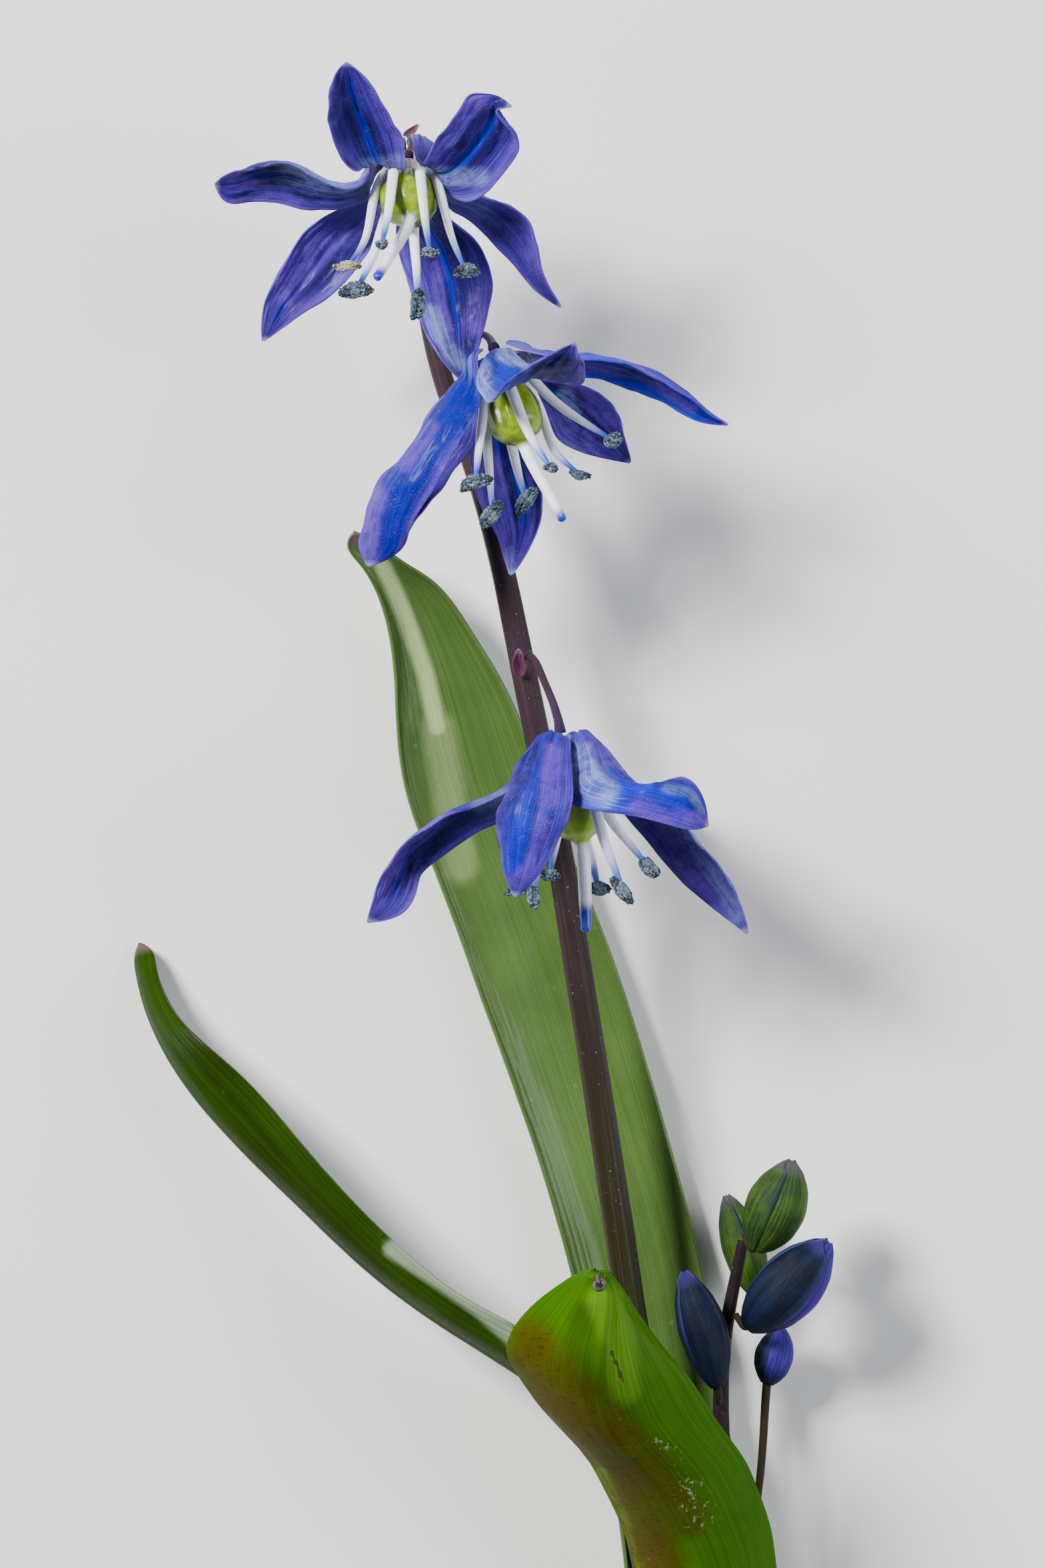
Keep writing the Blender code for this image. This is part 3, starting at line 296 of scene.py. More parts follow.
# margins of the tepals from the receptacle outwards: left point, right point, depth of the midrib behind the chord
TEPALS = {
    "top": [
        [(545, 276, 16.6, 542, 303, 13.4, 0.5), (471, 267, 17.6, 471, 316, 13.8, 0.7), (414, 244, 17.4, 415, 305, 14.0, 0.7), (365, 256, 16.6, 362, 306, 14.2, 0.5),
         (337, 266, 15.9, 335, 300, 14.8, 0.3), (322, 277, 15.3)],
        [(533, 258, 17.0, 607, 257, 16.4, 0.4), (506, 225, 18.8, 606, 224, 18.2, 0.6), (495, 182, 20.0, 589, 182, 19.4, 0.6), (494, 148, 20.7, 570, 150, 20.2, 0.5),
         (501, 116, 21.1, 549, 118, 20.8, 0.25), (520, 94, 21.3)],
        [(632, 249, 16.4, 664, 284, 15.2, 0.4), (650, 223, 18.0, 700, 303, 15.8, 0.6), (672, 190, 19.2, 745, 272, 17.4, 0.6), (692, 160, 20.0, 772, 236, 18.6, 0.5),
         (714, 142, 20.4, 769, 202, 19.6, 0.35), (740, 142, 20.1, 745, 173, 20.1, 0.12), (766, 159, 20.5)],
        [(676, 284, 14.4, 664, 300, 11.8, 0.35), (722, 298, 14.8, 700, 329, 11.8, 0.6), (774, 316, 14.4, 739, 366, 11.6, 0.7), (798, 356, 13.6, 770, 397, 11.4, 0.5),
         (812, 412, 12.4, 798, 432, 11.3, 0.3), (841, 461, 11.2)],
        [(600, 322, 10.4, 660, 312, 10.2, 0.4), (598, 368, 10.0, 705, 352, 9.8, 0.6), (611, 420, 9.9, 734, 404, 9.7, 0.7), (630, 476, 10.0, 736, 452, 9.8, 0.6),
         (655, 526, 10.2, 722, 505, 10.1, 0.4), (682, 562, 10.5, 712, 548, 10.5, 0.15), (709, 578, 10.6)],
        [(545, 300, 12.4, 572, 343, 11.0, 0.35), (494, 324, 12.2, 557, 370, 10.9, 0.5), (450, 358, 11.8, 530, 410, 10.8, 0.6), (418, 408, 11.4, 495, 443, 10.7, 0.5),
         (396, 462, 11.1, 450, 472, 10.8, 0.3), (395, 512, 10.8)],
    ],
    "middle": [
        [(702, 552, 13.6, 722, 584, 15.8, 0.4), (656, 611, 13.8, 700, 645, 16.8, 0.7), (610, 678, 13.9, 668, 702, 17.0, 0.8), (567, 727, 13.9, 640, 750, 16.6, 0.7),
         (547, 780, 14.0, 616, 792, 15.8, 0.5), (541, 822, 14.2, 600, 826, 15.0, 0.25), (554, 850, 14.6)],
        [(722, 552, 15.4, 777, 540, 15.4, 0.6), (718, 580, 17.0, 808, 558, 17.0, 0.9), (726, 599, 18.6, 850, 577, 18.6, 0.9), (733, 603, 19.8, 872, 580, 19.6, 0.8),
         (754, 583, 21.2, 877, 558, 20.8, 0.6), (794, 553, 22.2, 873, 542, 21.8, 0.4), (831, 531, 22.6, 867, 529, 22.4, 0.2), (862, 514, 22.6)],
        [(800, 530, 15.2, 800, 548, 12.9, 0.4), (868, 539, 16.0, 868, 566, 12.6, 0.6), (920, 545, 15.8, 921, 576, 12.2, 0.6), (975, 564, 15.2, 968, 594, 12.2, 0.6),
         (1028, 594, 14.2, 1012, 616, 12.2, 0.5), (1064, 623, 13.2, 1052, 634, 12.3, 0.25), (1092, 638, 12.6)],
        [(800, 562, 11.8, 786, 590, 10.4, 0.4), (852, 574, 11.4, 819, 618, 9.6, 0.6), (900, 594, 10.8, 834, 655, 8.8, 0.7), (924, 620, 10.0, 868, 677, 8.4, 0.6),
         (936, 655, 9.2, 906, 688, 8.2, 0.3), (946, 694, 8.2)],
        [(722, 580, 11.2, 768, 590, 10.8, 0.4), (707, 630, 10.4, 784, 642, 10.0, 0.6), (706, 684, 10.0, 801, 702, 9.6, 0.7), (717, 741, 10.0, 813, 748, 9.6, 0.6),
         (742, 790, 10.3, 806, 792, 10.0, 0.4), (756, 832, 10.6, 788, 832, 10.5, 0.2), (767, 862, 10.8)],
        [(690, 592, 11.8, 716, 606, 11.4, 0.3), (660, 642, 11.6, 712, 657, 11.3, 0.5), (625, 692, 11.6, 684, 702, 11.4, 0.6), (602, 736, 11.9, 652, 744, 11.8, 0.5),
         (590, 775, 12.3, 622, 784, 12.3, 0.25), (600, 812, 12.8)],
    ],
    "lower": [
        [(803, 1132, 13.2, 806, 1156, 11.3, 0.3), (759, 1186, 14.2, 762, 1226, 11.6, 0.6), (705, 1211, 14.8, 715, 1250, 11.8, 0.7), (649, 1241, 14.8, 668, 1281, 11.8, 0.7),
         (600, 1274, 14.2, 634, 1312, 12.0, 0.5), (572, 1320, 13.4, 622, 1347, 12.2, 0.35), (559, 1356, 13.0, 596, 1374, 12.5, 0.2), (552, 1384, 12.7)],
        [(806, 1113, 14.7, 852, 1112, 15.4, 0.4), (777, 1149, 15.8, 858, 1152, 17.3, 0.7), (761, 1186, 16.6, 859, 1192, 18.2, 0.8), (748, 1226, 17.0, 851, 1234, 18.4, 0.9),
         (750, 1270, 17.2, 828, 1278, 18.0, 0.6), (758, 1310, 17.3, 802, 1320, 17.8, 0.3), (773, 1345, 17.6)],
        [(856, 1113, 14.7, 884, 1103, 14.0, 0.4), (855, 1158, 16.0, 918, 1137, 15.0, 0.8), (857, 1203, 17.2, 944, 1167, 16.2, 1.0), (900, 1217, 18.7, 972, 1183, 17.3, 0.8),
         (954, 1225, 19.4, 1004, 1174, 17.9, 0.6), (1000, 1236, 19.4, 1034, 1171, 18.2, 0.5), (1038, 1244, 19.2, 1053, 1194, 18.7, 0.25), (1062, 1238, 19.0)],
        [(872, 1142, 11.6, 896, 1130, 12.8, 0.3), (905, 1190, 11.0, 946, 1174, 13.4, 0.5), (950, 1237, 10.6, 1002, 1218, 13.5, 0.7), (992, 1288, 10.3, 1046, 1262, 13.0, 0.7),
         (1034, 1333, 10.1, 1082, 1312, 12.2, 0.5), (1080, 1371, 10.1, 1110, 1357, 11.0, 0.25), (1121, 1400, 10.4)],
        [(852, 1146, 10.2, 884, 1142, 10.7, 0.3), (868, 1184, 7.0, 944, 1180, 8.2, 0.5), (904, 1204, 3.9, 986, 1200, 5.2, 0.6), (946, 1214, 1.6, 1006, 1211, 2.6, 0.4),
         (998, 1222, 0.5)],
        [(797, 1146, 11.6, 818, 1158, 10.4, 0.25), (757, 1190, 9.9, 785, 1206, 7.9, 0.4), (722, 1214, 7.7, 766, 1226, 5.3, 0.5), (704, 1226, 5.6, 742, 1234, 4.0, 0.3),
         (708, 1237, 3.4)],
    ],
}

# stamens, in the order of the tepals: two points on the free arm, middle of the anther, its half length and half width (mm), its direction in view
STAMENS = {
    "top": [
        dict(start=(561, 297, 15.5), arm=(548, 358, 17.2), anther=(521, 399, 18.6), size=(0.80, 0.26), dir=(-1, 0.12, 0.1)),
        dict(start=(590, 260, 16.6), arm=(584, 309, 17.9), anther=(573, 366, 20.4), size=(0.34, 0.24), dir=(1, 0.2, 0)),
        dict(start=(632, 274, 17.3), arm=(637, 324, 18.4), anther=(645, 379, 19.8), size=(0.60, 0.26), dir=(1, 0.15, 0)),
        dict(start=(661, 290, 16.1), arm=(676, 350, 16.6), anther=(700, 408, 17.4), size=(0.72, 0.40), dir=(1, 0.1, 0)),
        dict(start=(621, 345, 14.0), arm=(624, 390, 15.2), anther=(627, 457, 17.0), size=(0.92, 0.45), dir=(0.35, 1, 0)),
        dict(start=(572, 347, 14.8), arm=(558, 388, 16.0), anther=(534, 437, 17.6), size=(1.02, 0.45), dir=(-1, -0.12, 0.1)),
    ],
    "middle": [
        dict(start=(726, 602, 14.6), arm=(720, 660, 15.6), anther=(713, 723, 17.0), size=(1.0, 0.42), dir=(1, 0.5, 0)),
        dict(start=(772, 598, 16.2), arm=(794, 651, 17.2), anther=(827, 702, 18.4), size=(0.42, 0.26), dir=(1, -0.3, 0)),
        dict(start=(819, 590, 15.0), arm=(860, 623, 15.6), anther=(920, 660, 16.4), size=(0.5, 0.42), dir=(1, 0.2, 0)),
        dict(start=(816, 631, 12.6), arm=(831, 674, 13.0), anther=(870, 711, 13.5), size=(0.68, 0.24), dir=(1, -0.2, 0)),
        dict(start=(766, 657, 12.1), arm=(778, 712, 12.8), anther=(789, 751, 13.6), size=(1.0, 0.4), dir=(0.45, 0.9, 0)),
        dict(start=(730, 651, 12.9), arm=(735, 716, 13.8), anther=(739, 773, 14.4), size=(0.92, 0.45), dir=(0.7, 0.8, 0)),
    ],
    "lower": [
        dict(start=(812, 1216, 12.9), arm=(792, 1262, 12.6), anther=(776, 1337, 12.9), size=(0.8, 0.3), dir=(1, 0.15, 0)),
        dict(start=(838, 1200, 15.0), arm=(814, 1270, 14.6), anther=(801, 1346, 14.6), size=(0.68, 0.36), dir=(0.15, 1, 0)),
        dict(start=(894, 1217, 15.0), arm=(908, 1265, 15.4), anther=(935, 1334, 15.8), size=(1.0, 0.38), dir=(0.6, -0.8, 0)),
        dict(start=(909, 1216, 14.2), arm=(934, 1253, 14.2), anther=(974, 1301, 14.2), size=(0.7, 0.44), dir=(0.8, -0.5, 0)),
        dict(start=(874, 1240, 10.9), arm=(886, 1284, 11.4), anther=(898, 1334, 12.2), size=(0.72, 0.38), dir=(1, 0.1, 0)),
        dict(start=(838, 1225, 10.9), arm=(832, 1270, 10.8), anther=(825, 1313, 11.2), size=(0.6, 0.34), dir=(1, -0.3, 0)),
    ],
}

# margins of the leaves from the cut upwards; nine numbers give the midrib as a point
LEAVES = {
    "leaf_rear": dict(facing=(0, 0, 1), bow=1.25, rows=[
        (966, 2640, 3.5, 1154, 2640, 3.5, 1060, 2640, 0.75), (956, 2500, 3.3, 1146, 2500, 3.3, 1052, 2500, 0.75), (940, 2352, 3.0, 1126, 2352, 3.0, 1034, 2352, 0.75),
        (905, 2110, 2.6, 1082, 2105, 2.6, 994, 2110, 0.75), (864, 1918, 2.2, 1054, 1914, 2.2, 958, 1916, 0.75), (820, 1764, 2.0, 1018, 1772, 2.0, 919, 1768, 0.75),
        (768, 1620, 1.9, 980, 1640, 1.9, 874, 1630, 0.8), (711, 1460, 1.9, 926, 1468, 1.9, 819, 1464, 0.85), (660, 1320, 2.0, 871, 1322, 2.0, 766, 1321, 0.95),
        (614, 1190, 2.3, 812, 1172, 2.3, 713, 1181, 1.2), (598, 1080, 2.8, 764, 1048, 2.8, 681, 1064, 1.7), (590, 975, 3.5, 708, 952, 3.5, 649, 964, 2.5),
        (570, 895, 4.3, 651, 878, 4.3, 611, 886, 3.6), (542, 846, 5.1, 598, 842, 5.1, 570, 844, 4.7), (523, 816, 5.6, 558, 811, 5.6, 540, 814, 5.4), (532, 800, 5.8)]),
    "leaf_left": dict(facing=(0.5, 0.7, -0.2), rows=[
        (1034, 2640, 1.9, 1034, 2640, 5.3, 1002, 2640, 3.7), (1014, 2500, 2.2, 1014, 2500, 5.8, 987, 2500, 4.1), (990, 2350, 2.7, 992, 2345, 6.4, 966, 2352, 4.7),
        (948, 2186, 3.6, 952, 2176, 7.4, 922, 2206, 5.7), (878, 2076, 4.3, 880, 2066, 8.3, 856, 2106, 6.4), (798, 2008, 4.7, 792, 1998, 8.6, 776, 2044, 6.7),
        (712, 1956, 4.7, 705, 1948, 8.6, 684, 1986, 6.7), (610, 1882, 4.5, 602, 1873, 8.3, 572, 1904, 6.4), (482, 1748, 3.8, 474, 1740, 7.4, 447, 1788, 5.5),
        (374, 1629, 2.9, 366, 1616, 6.0, 328, 1668, 4.4), (300, 1560, 2.1, 292, 1549, 4.9, 262, 1578, 3.4), (254, 1502, 1.2, 250, 1496, 3.2, 228, 1508, 2.1),
        (236, 1454, 0.6, 235, 1449, 1.9, 214, 1460, 1.2), (228, 1431, 0.45, 229, 1427, 1.1, 211, 1434, 0.75), (216, 1416, 0.55)]),
    "leaf_front": dict(facing=(0, 0, -1), bow=0.85, rows=[
        (970, 2640, 4.5, 1152, 2640, 4.5, 1064, 2640, 7.3), (966, 2500, 5.3, 1158, 2500, 4.8, 1064, 2500, 8.4), (956, 2350, 7.2, 1159, 2350, 5.8, 1052, 2352, 10.2),
        (930, 2268, 9.2, 1143, 2262, 7.7, 1014, 2265, 12.6), (892, 2192, 11.4, 1118, 2196, 9.9, 970, 2200, 15.0), (840, 2138, 13.6, 1080, 2142, 12.2, 926, 2152, 17.2),
        (785, 2066, 15.9, 1036, 2080, 14.6, 898, 2094, 19.3), (765, 2018, 17.6, 988, 2018, 16.5, 893, 2040, 20.8), (797, 1964, 19.2, 946, 1958, 18.5, 901, 1984, 21.4),
        (836, 1932, 20.2, 926, 1928, 19.8, 905, 1946, 21.9), (866, 1914, 21.0, 914, 1912, 20.8, 900, 1918, 22.2), (885, 1909, 21.6, 907, 1909, 21.5, 897, 1911, 22.7), (897, 1922, 23.1)]),
}
# young stem in bud: its line, and each bud as base, tip, half width (mm) and colour; then the line of its stalk
YOUNG = [(1106, 2640, 3.3), (1098, 2500, 3.3), (1090, 2352, 3.5), (1084, 2200, 4.0), (1082, 2080, 4.4), (1090, 1990, 4.7), (1106, 1905, 5.0), (1115, 1862, 5.2)]
BUDS = {
    "1": dict(base=(1134, 1874, 6.6), tip=(1190, 1742, 7.8), wide=1.68, colour="bud_green", stalk=[(1117, 1850, 5.4), (1123, 1866, 5.6), (1130, 1873, 6.1)]),
    "2": dict(base=(1134, 1942, 2.6), tip=(1090, 1794, 2.6), wide=1.15, colour="bud_green", stalk=[(1112, 1984, 3.7), (1122, 1964, 3.2)]),
    "3": dict(base=(1122, 1990, 6.6), tip=(1242, 1862, 8.4), wide=1.8, colour="bud_blue", stalk=[(1104, 1972, 5.2), (1112, 1984, 5.6), (1119, 1990, 6.2)]),
    "4": dict(base=(1077, 2080, 6.1), tip=(1026, 1908, 6.4), wide=1.3, colour="bud_blue", stalk=[(1078, 2104, 5.3), (1078, 2092, 5.8)]),
    "5": dict(base=(1150, 2076, 3.4), tip=(1172, 1990, 3.2), wide=1.05, colour="bud_blue",
              stalk=[(1104, 2400, 4.4), (1126, 2310, 4.1), (1142, 2200, 3.7), (1148, 2110, 3.4)]),
}
BRACTS = {
    "top": dict(facing=(0.3, 0.3, 1), rows=[(604, 204, 10.0, 612, 210, 10.1, 0.1), (606, 200, 10.4, 617, 206, 10.4, 0.12), (614, 194, 10.9, 622, 199, 10.9, 0.1), (627, 187, 11.2)]),
    "middle": dict(facing=(0.6, 0.3, 0.6), rows=[(666, 496, 7.6, 675, 495, 7.6, 0.1), (665, 487, 7.9, 678, 486, 7.9, 0.12), (667, 477, 8.2, 677, 477, 8.2, 0.1), (673, 467, 8.4)]),
    "lower": dict(facing=(0.3, 0.3, 1), rows=[(774, 1014, 8.9, 784, 1014, 9.0, 0.1), (770, 1002, 9.3, 788, 1002, 9.3, 0.15), (771, 988, 9.7, 786, 988, 9.7, 0.12), (778, 974, 10.0)]),
}


def pts(seq):
    return [at(*p) for p in seq]


def flower_frame(key):
    """Receptacle, axis, two directions across it, tip of the style."""
    c = at(*FLOWERS[key]["at"])
    tip = at(*FLOWERS[key]["style"])
    a = unit(at(*FLOWERS[key]["ovary"]) - c)
    e1 = unit(np.array([1.0, 0, 0]) - a[0] * a)
    return c, a, e1, np.cross(a, e1), tip


def around(key, i):
    """Outward direction of tepal and stamen i."""
    c, a, e1, e2, _ = flower_frame(key)
    w = math.radians(180.0 - 60.0 * i + FLOWERS[key]["turn"])
    return math.cos(w) * e1 + math.sin(w) * e2


def tepal_blade(key, i, nt, ns, thick=TEPAL_THICK, **more):
    rows = TEPALS[key][i]
    c, axis = flower_frame(key)[:2]
    out = around(key, i)
    outer = 1.0 - i % 2
    across = np.cross(axis, out)
    first = stations([rows[0]])[0]
    if np.dot(across, first[2] - first[0]) < 0:
        across = -across
    root = c + out * (0.75 + 0.25 * outer) + axis * (0.1 - 0.35 * outer)
    wide = c + out * (1.75 + 0.15 * outer) + axis * (0.45 - 0.2 * outer)
    base = [[root - across * 0.36, root, root + across * 0.36], [wide - across * 0.85 + axis * 0.1, wide, wide + across * 0.85 + axis * 0.1]]
    return rails(rows, axis * 0.9 - out * 0.5, nt, ns, thick, base=base, **more)


def leaf_blade(name, nt, ns, thick=LEAF_THICK, **more):
    spec = LEAVES[name]
    return rails(spec["rows"], spec["facing"], nt, ns, thick, bow=spec.get("bow", 1.0), **more)


def pistil_parts(key):
    """Points along the pistil, its radius knots and the share of its length that the ovary takes."""
    c, axis, _, _, tip = flower_frame(key)
    o = at(*FLOWERS[key]["ovary"])
    d = np.linalg.norm(o - c)
    foot = o + axis * 2.1
    line = [c + axis * 0.45, o - axis * 1.2, o, foot, foot + (tip - foot) * 0.5 + axis * 0.25, tip]
    length = path(line, [0.0, 1.0])[2]
    r = OVARY_R
    mm = [(0, 0.5), (d - 2.45, 0.95), (d - 1.45, r * 0.86), (d - 0.55, r), (d + 0.15, r * 0.97), (d + 0.9, r * 0.72), (d + 1.4, 0.5), (d + 1.8, 0.33)]
    return line, [(x / length, y) for x, y in mm] + [(0.85, 0.28), (0.96, 0.24), (1, 0.15)], (d + 1.5) / length


def stamen_points(key, i):
    """Filament from the receptacle, past the ovary, to the middle of the anther."""
    c, axis = flower_frame(key)[:2]
    spec = STAMENS[key][i]
    out = around(key, i)
    return [c + out * 1.2 + axis * 0.75, at(*spec["start"]), at(*spec["arm"]), at(*spec["anther"])], out, spec


def bud_points(key):
    """Middle line of a closed bud and its stalk, both as points (mm), and the radius knots of the bud."""
    spec = BUDS[key]
    b, t = at(*spec["base"]), at(*spec["tip"])
    side = unit(np.cross(t - b, (0, 0, 1.0)))
    w = spec["wide"]
    return ([b, b + (t - b) * 0.5 + side * w * 0.08, t], [(0, w * 0.28), (0.1, w * 0.58), (0.3, w * 0.92), (0.5, w), (0.72, w * 0.84), (0.88, w * 0.52), (0.96, w * 0.30), (1, w * 0.12)],
            [at(*q) for q in spec["stalk"]] + [b + (t - b) * 0.04])



# ------------------------------------------------------------------ meshes
def on_view(points):
    """Where points (mm) stand in the view from straight above."""
    z = points[..., 2] + SHIFT[2]
    k = (EYE + LEVEL - z) / EYE / UNIT
    return (points[..., 0] + SHIFT[0]) / k + MIDDLE[0], MIDDLE[1] - (points[..., 1] + SHIFT[1]) / k


def strokes(points, runs):
    """Soft local tones: each run is a name, a strength, a half width and the places it goes through."""
    u, w = on_view(points)
    out = {}
    for name, strength, wide, line in runs:
        best = np.full(u.shape, 1e9)
        for a, b in zip(line[:-1], line[1:]) if len(line) > 1 else [(line[0], line[0])]:
            d = np.array(b, float) - a
            q = np.clip(((u - a[0]) * d[0] + (w - a[1]) * d[1]) / max(d @ d, 1e-9), 0, 1)
            best = np.minimum(best, np.hypot(u - a[0] - q * d[0], w - a[1] - q * d[1]))
        x = np.clip(1.5 - best / wide, 0, 1)
        out[name] = np.maximum(out.get(name, 0), strength * x * x * (3 - 2 * x))
    return out


def solid_mesh(name, top, bottom, tt, ss, mats, seed=0.0, extra=None):
    """Thin closed piece from its inner and outer grids, with (along, across) as its map, and side = 1 on the outer face."""
    a, b = top.shape[:2]
    verts, faces = grid_solid(top, bottom)
    me = bpy.data.meshes.new(name)
    me.from_pydata([tuple(v) for v in (verts * 0.001)], [], faces)
    uv = me.uv_layers.new(name="Grain")
    u = np.concatenate([tt.ravel(), tt.ravel()])
    v = np.concatenate([ss.ravel(), ss.ravel()]) * 0.5 + 0.5
    loops = np.empty(len(me.loops), dtype=np.int32)
    me.loops.foreach_get("vertex_index", loops)
    uv.data.foreach_set("uv", np.stack([u[loops], v[loops]], 1).astype(np.float32).ravel())
    side = me.attributes.new("side", "FLOAT", "POINT")
    side.data.foreach_set("value", np.concatenate([np.zeros(a * b), np.ones(a * b)]).astype(np.float32))
    sd = me.attributes.new("seed", "FLOAT", "POINT")
    sd.data.foreach_set("value", np.full(2 * a * b, seed, np.float32))
    for field, value in (extra or {}).items():
        at_ = me.attributes.new(field, "FLOAT", "POINT")
        at_.data.foreach_set("value", np.concatenate([value.ravel(), value.ravel()]).astype(np.float32))
    return finish_mesh(me, name, mats)


def tube_mesh(name, verts, faces, nt_rows, na, mats, length, seed=0.0, start=0.0):
    """Closed tube with (along in mm, round) as its map."""
    me = bpy.data.meshes.new(name)
    me.from_pydata([tuple(v) for v in (verts * 0.001)], [], faces)
    along = np.concatenate([np.repeat(np.linspace(0, 1, nt_rows) if length is None else length, na), [0 if length is None else length[0], 1 if length is None else length[-1]]])
    at_ = me.attributes.new("along", "FLOAT", "POINT")
    at_.data.foreach_set("value", (along + start).astype(np.float32))
    ang = np.concatenate([np.tile(np.linspace(0, 1, na, endpoint=False), nt_rows), [0, 0]])
    an = me.attributes.new("round", "FLOAT", "POINT")
    an.data.foreach_set("value", ang.astype(np.float32))
    sd = me.attributes.new("seed", "FLOAT", "POINT")
    sd.data.foreach_set("value", np.full(len(verts), seed, np.float32))
    return finish_mesh(me, name, mats)


def finish_mesh(me, name, mats):
    me.calc_loop_triangles()
    co = np.empty(len(me.vertices) * 3)
    me.vertices.foreach_get("co", co)
    co = co.reshape(-1, 3)
    tri = np.empty(len(me.loop_triangles) * 3, dtype=np.int32)
    me.loop_triangles.foreach_get("vertices", tri)
    tri = tri.reshape(-1, 3)
    p = co[tri]
    if np.sum(np.einsum("ij,ij->i", p[:, 0], np.cross(p[:, 1], p[:, 2]))) < 0:
        me.flip_normals()
    ob = bpy.data.objects.new(name, me)
    bpy.context.scene.collection.objects.link(ob)
    for m in mats:
        me.materials.append(m)
    me.shade_smooth()
    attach(ob, "root")
    return ob


def soft_noise(shape, seed, scale, stretch=(1, 1)):
    """Smooth noise on a grid, about -1 to 1."""
    rng = np.random.default_rng(seed)
    a, b = shape
    out = np.zeros(shape)
    amp, total = 1.0, 0.0
    for k in range(3):
        na, nb = max(2, int(scale * stretch[0] * 2**k) + 2), max(2, int(scale * stretch[1] * 2**k) + 2)
        g = rng.normal(size=(na + 3, nb + 3))
        x, y = np.linspace(0.5, na + 0.5, a), np.linspace(0.5, nb + 0.5, b)
        i, j = x.astype(int), y.astype(int)
        fx, fy = (x - i)[:, None], (y - j)[None]
        fx, fy = fx * fx * (3 - 2 * fx), fy * fy * (3 - 2 * fy)
        v = (g[i][:, j] * (1 - fx) + g[i + 1][:, j] * fx) * (1 - fy) + (g[i][:, j + 1] * (1 - fx) + g[i + 1][:, j + 1] * fx) * fy
        out += amp * v
        total += amp
        amp *= 0.5
    return out / total


# ------------------------------------------------------------------ node helpers
class Look:
    """A small writer for node materials."""

    def __init__(self, name):
        self.mat = bpy.data.materials.new(name)
        self.mat.use_nodes = True
        self.t = self.mat.node_tree
        self.bsdf = self.t.nodes["Principled BSDF"]

    def new(self, kind, **props):
        n = self.t.nodes.new(kind)
        for k, v in props.items():
            setattr(n, k, v)
        return n

    def put(self, socket, value):
        if isinstance(value, bpy.types.NodeSocket):
            self.t.links.new(value, socket)
        elif isinstance(value, (tuple, list)) and len(value) == 3 and socket.type == "RGBA":
            socket.default_value = (*value, 1)
        else:
            socket.default_value = value

    def attr(self, name):
        return self.new("ShaderNodeAttribute", attribute_name=name).outputs["Fac"]

    def uv(self):
        n = self.new("ShaderNodeUVMap", uv_map="Grain")
        s = self.new("ShaderNodeSeparateXYZ")
        self.t.links.new(n.outputs[0], s.inputs[0])
        return s.outputs[0], s.outputs[1]

    def place(self):
        return self.new("ShaderNodeTexCoord").outputs["Object"]

    def m(self, op, a, b=0.0, c=None, clamp=False):
        n = self.new("ShaderNodeMath", operation=op, use_clamp=clamp)
        self.put(n.inputs[0], a)
        self.put(n.inputs[1], b)
        if c is not None:
            self.put(n.inputs[2], c)
        return n.outputs[0]

    def step(self, x, lo, hi, to_lo=0.0, to_hi=1.0):
        n = self.new("ShaderNodeMapRange", interpolation_type="SMOOTHSTEP")
        for i, v in enumerate((x, lo, hi, to_lo, to_hi)):
            self.put(n.inputs[i], v)
        return n.outputs[0]

    def xyz(self, x=0.0, y=0.0, z=0.0):
        n = self.new("ShaderNodeCombineXYZ")
        for i, v in enumerate((x, y, z)):
            self.put(n.inputs[i], v)
        return n.outputs[0]

    def scaled(self, vec, s):
        n = self.new("ShaderNodeVectorMath", operation="MULTIPLY")
        self.put(n.inputs[0], vec)
        n.inputs[1].default_value = s
        return n.outputs[0]

    def noise(self, vec, scale, detail=3.0, rough=0.55, distort=0.0):
        n = self.new("ShaderNodeTexNoise")
        self.put(n.inputs["Vector"], vec)
        n.inputs["Scale"].default_value = scale
        n.inputs["Detail"].default_value = detail
        n.inputs["Roughness"].default_value = rough
        n.inputs["Distortion"].default_value = distort
        return n.outputs["Fac"]

    def cells(self, vec, scale, feature="F1", out="Distance"):
        n = self.new("ShaderNodeTexVoronoi", feature=feature)
        self.put(n.inputs["Vector"], vec)
        n.inputs["Scale"].default_value = scale
        return n.outputs[out]

    def mix(self, f, a, b, blend="MIX"):
        n = self.new("ShaderNodeMix", data_type="RGBA", blend_type=blend)
        self.put(n.inputs[0], f)
        self.put(n.inputs[6], a)
        self.put(n.inputs[7], b)
        return n.outputs[2]

    def bump(self, height, strength, mm, normal=None):
        n = self.new("ShaderNodeBump")
        self.put(n.inputs["Height"], height)
        n.inputs["Strength"].default_value = strength
        n.inputs["Distance"].default_value = mm * 0.001
        if normal is not None:
            self.put(n.inputs["Normal"], normal)
        return n.outputs[0]

    def done(self, colour, rough, normal=None, spec=0.5, coat=0.0, coat_rough=0.1, sss=0.0, sss_mm=(0.6, 0.6, 0.6), sheen=0.0):
        b = self.bsdf
        self.put(b.inputs["Base Color"], colour)
        self.put(b.inputs["Roughness"], rough)
        b.inputs["Specular IOR Level"].default_value = spec
        b.inputs["Coat Weight"].default_value = coat
        b.inputs["Coat Roughness"].default_value = coat_rough
        if sss:
            b.inputs["Subsurface Weight"].default_value = sss
            b.inputs["Subsurface Radius"].default_value = sss_mm
            b.inputs["Subsurface Scale"].default_value = 0.001
        if sheen:
            b.inputs["Sheen Weight"].default_value = sheen
            b.inputs["Sheen Roughness"].default_value = 0.4
        if normal is not None:
            self.put(b.inputs["Normal"], normal)
        return self.mat


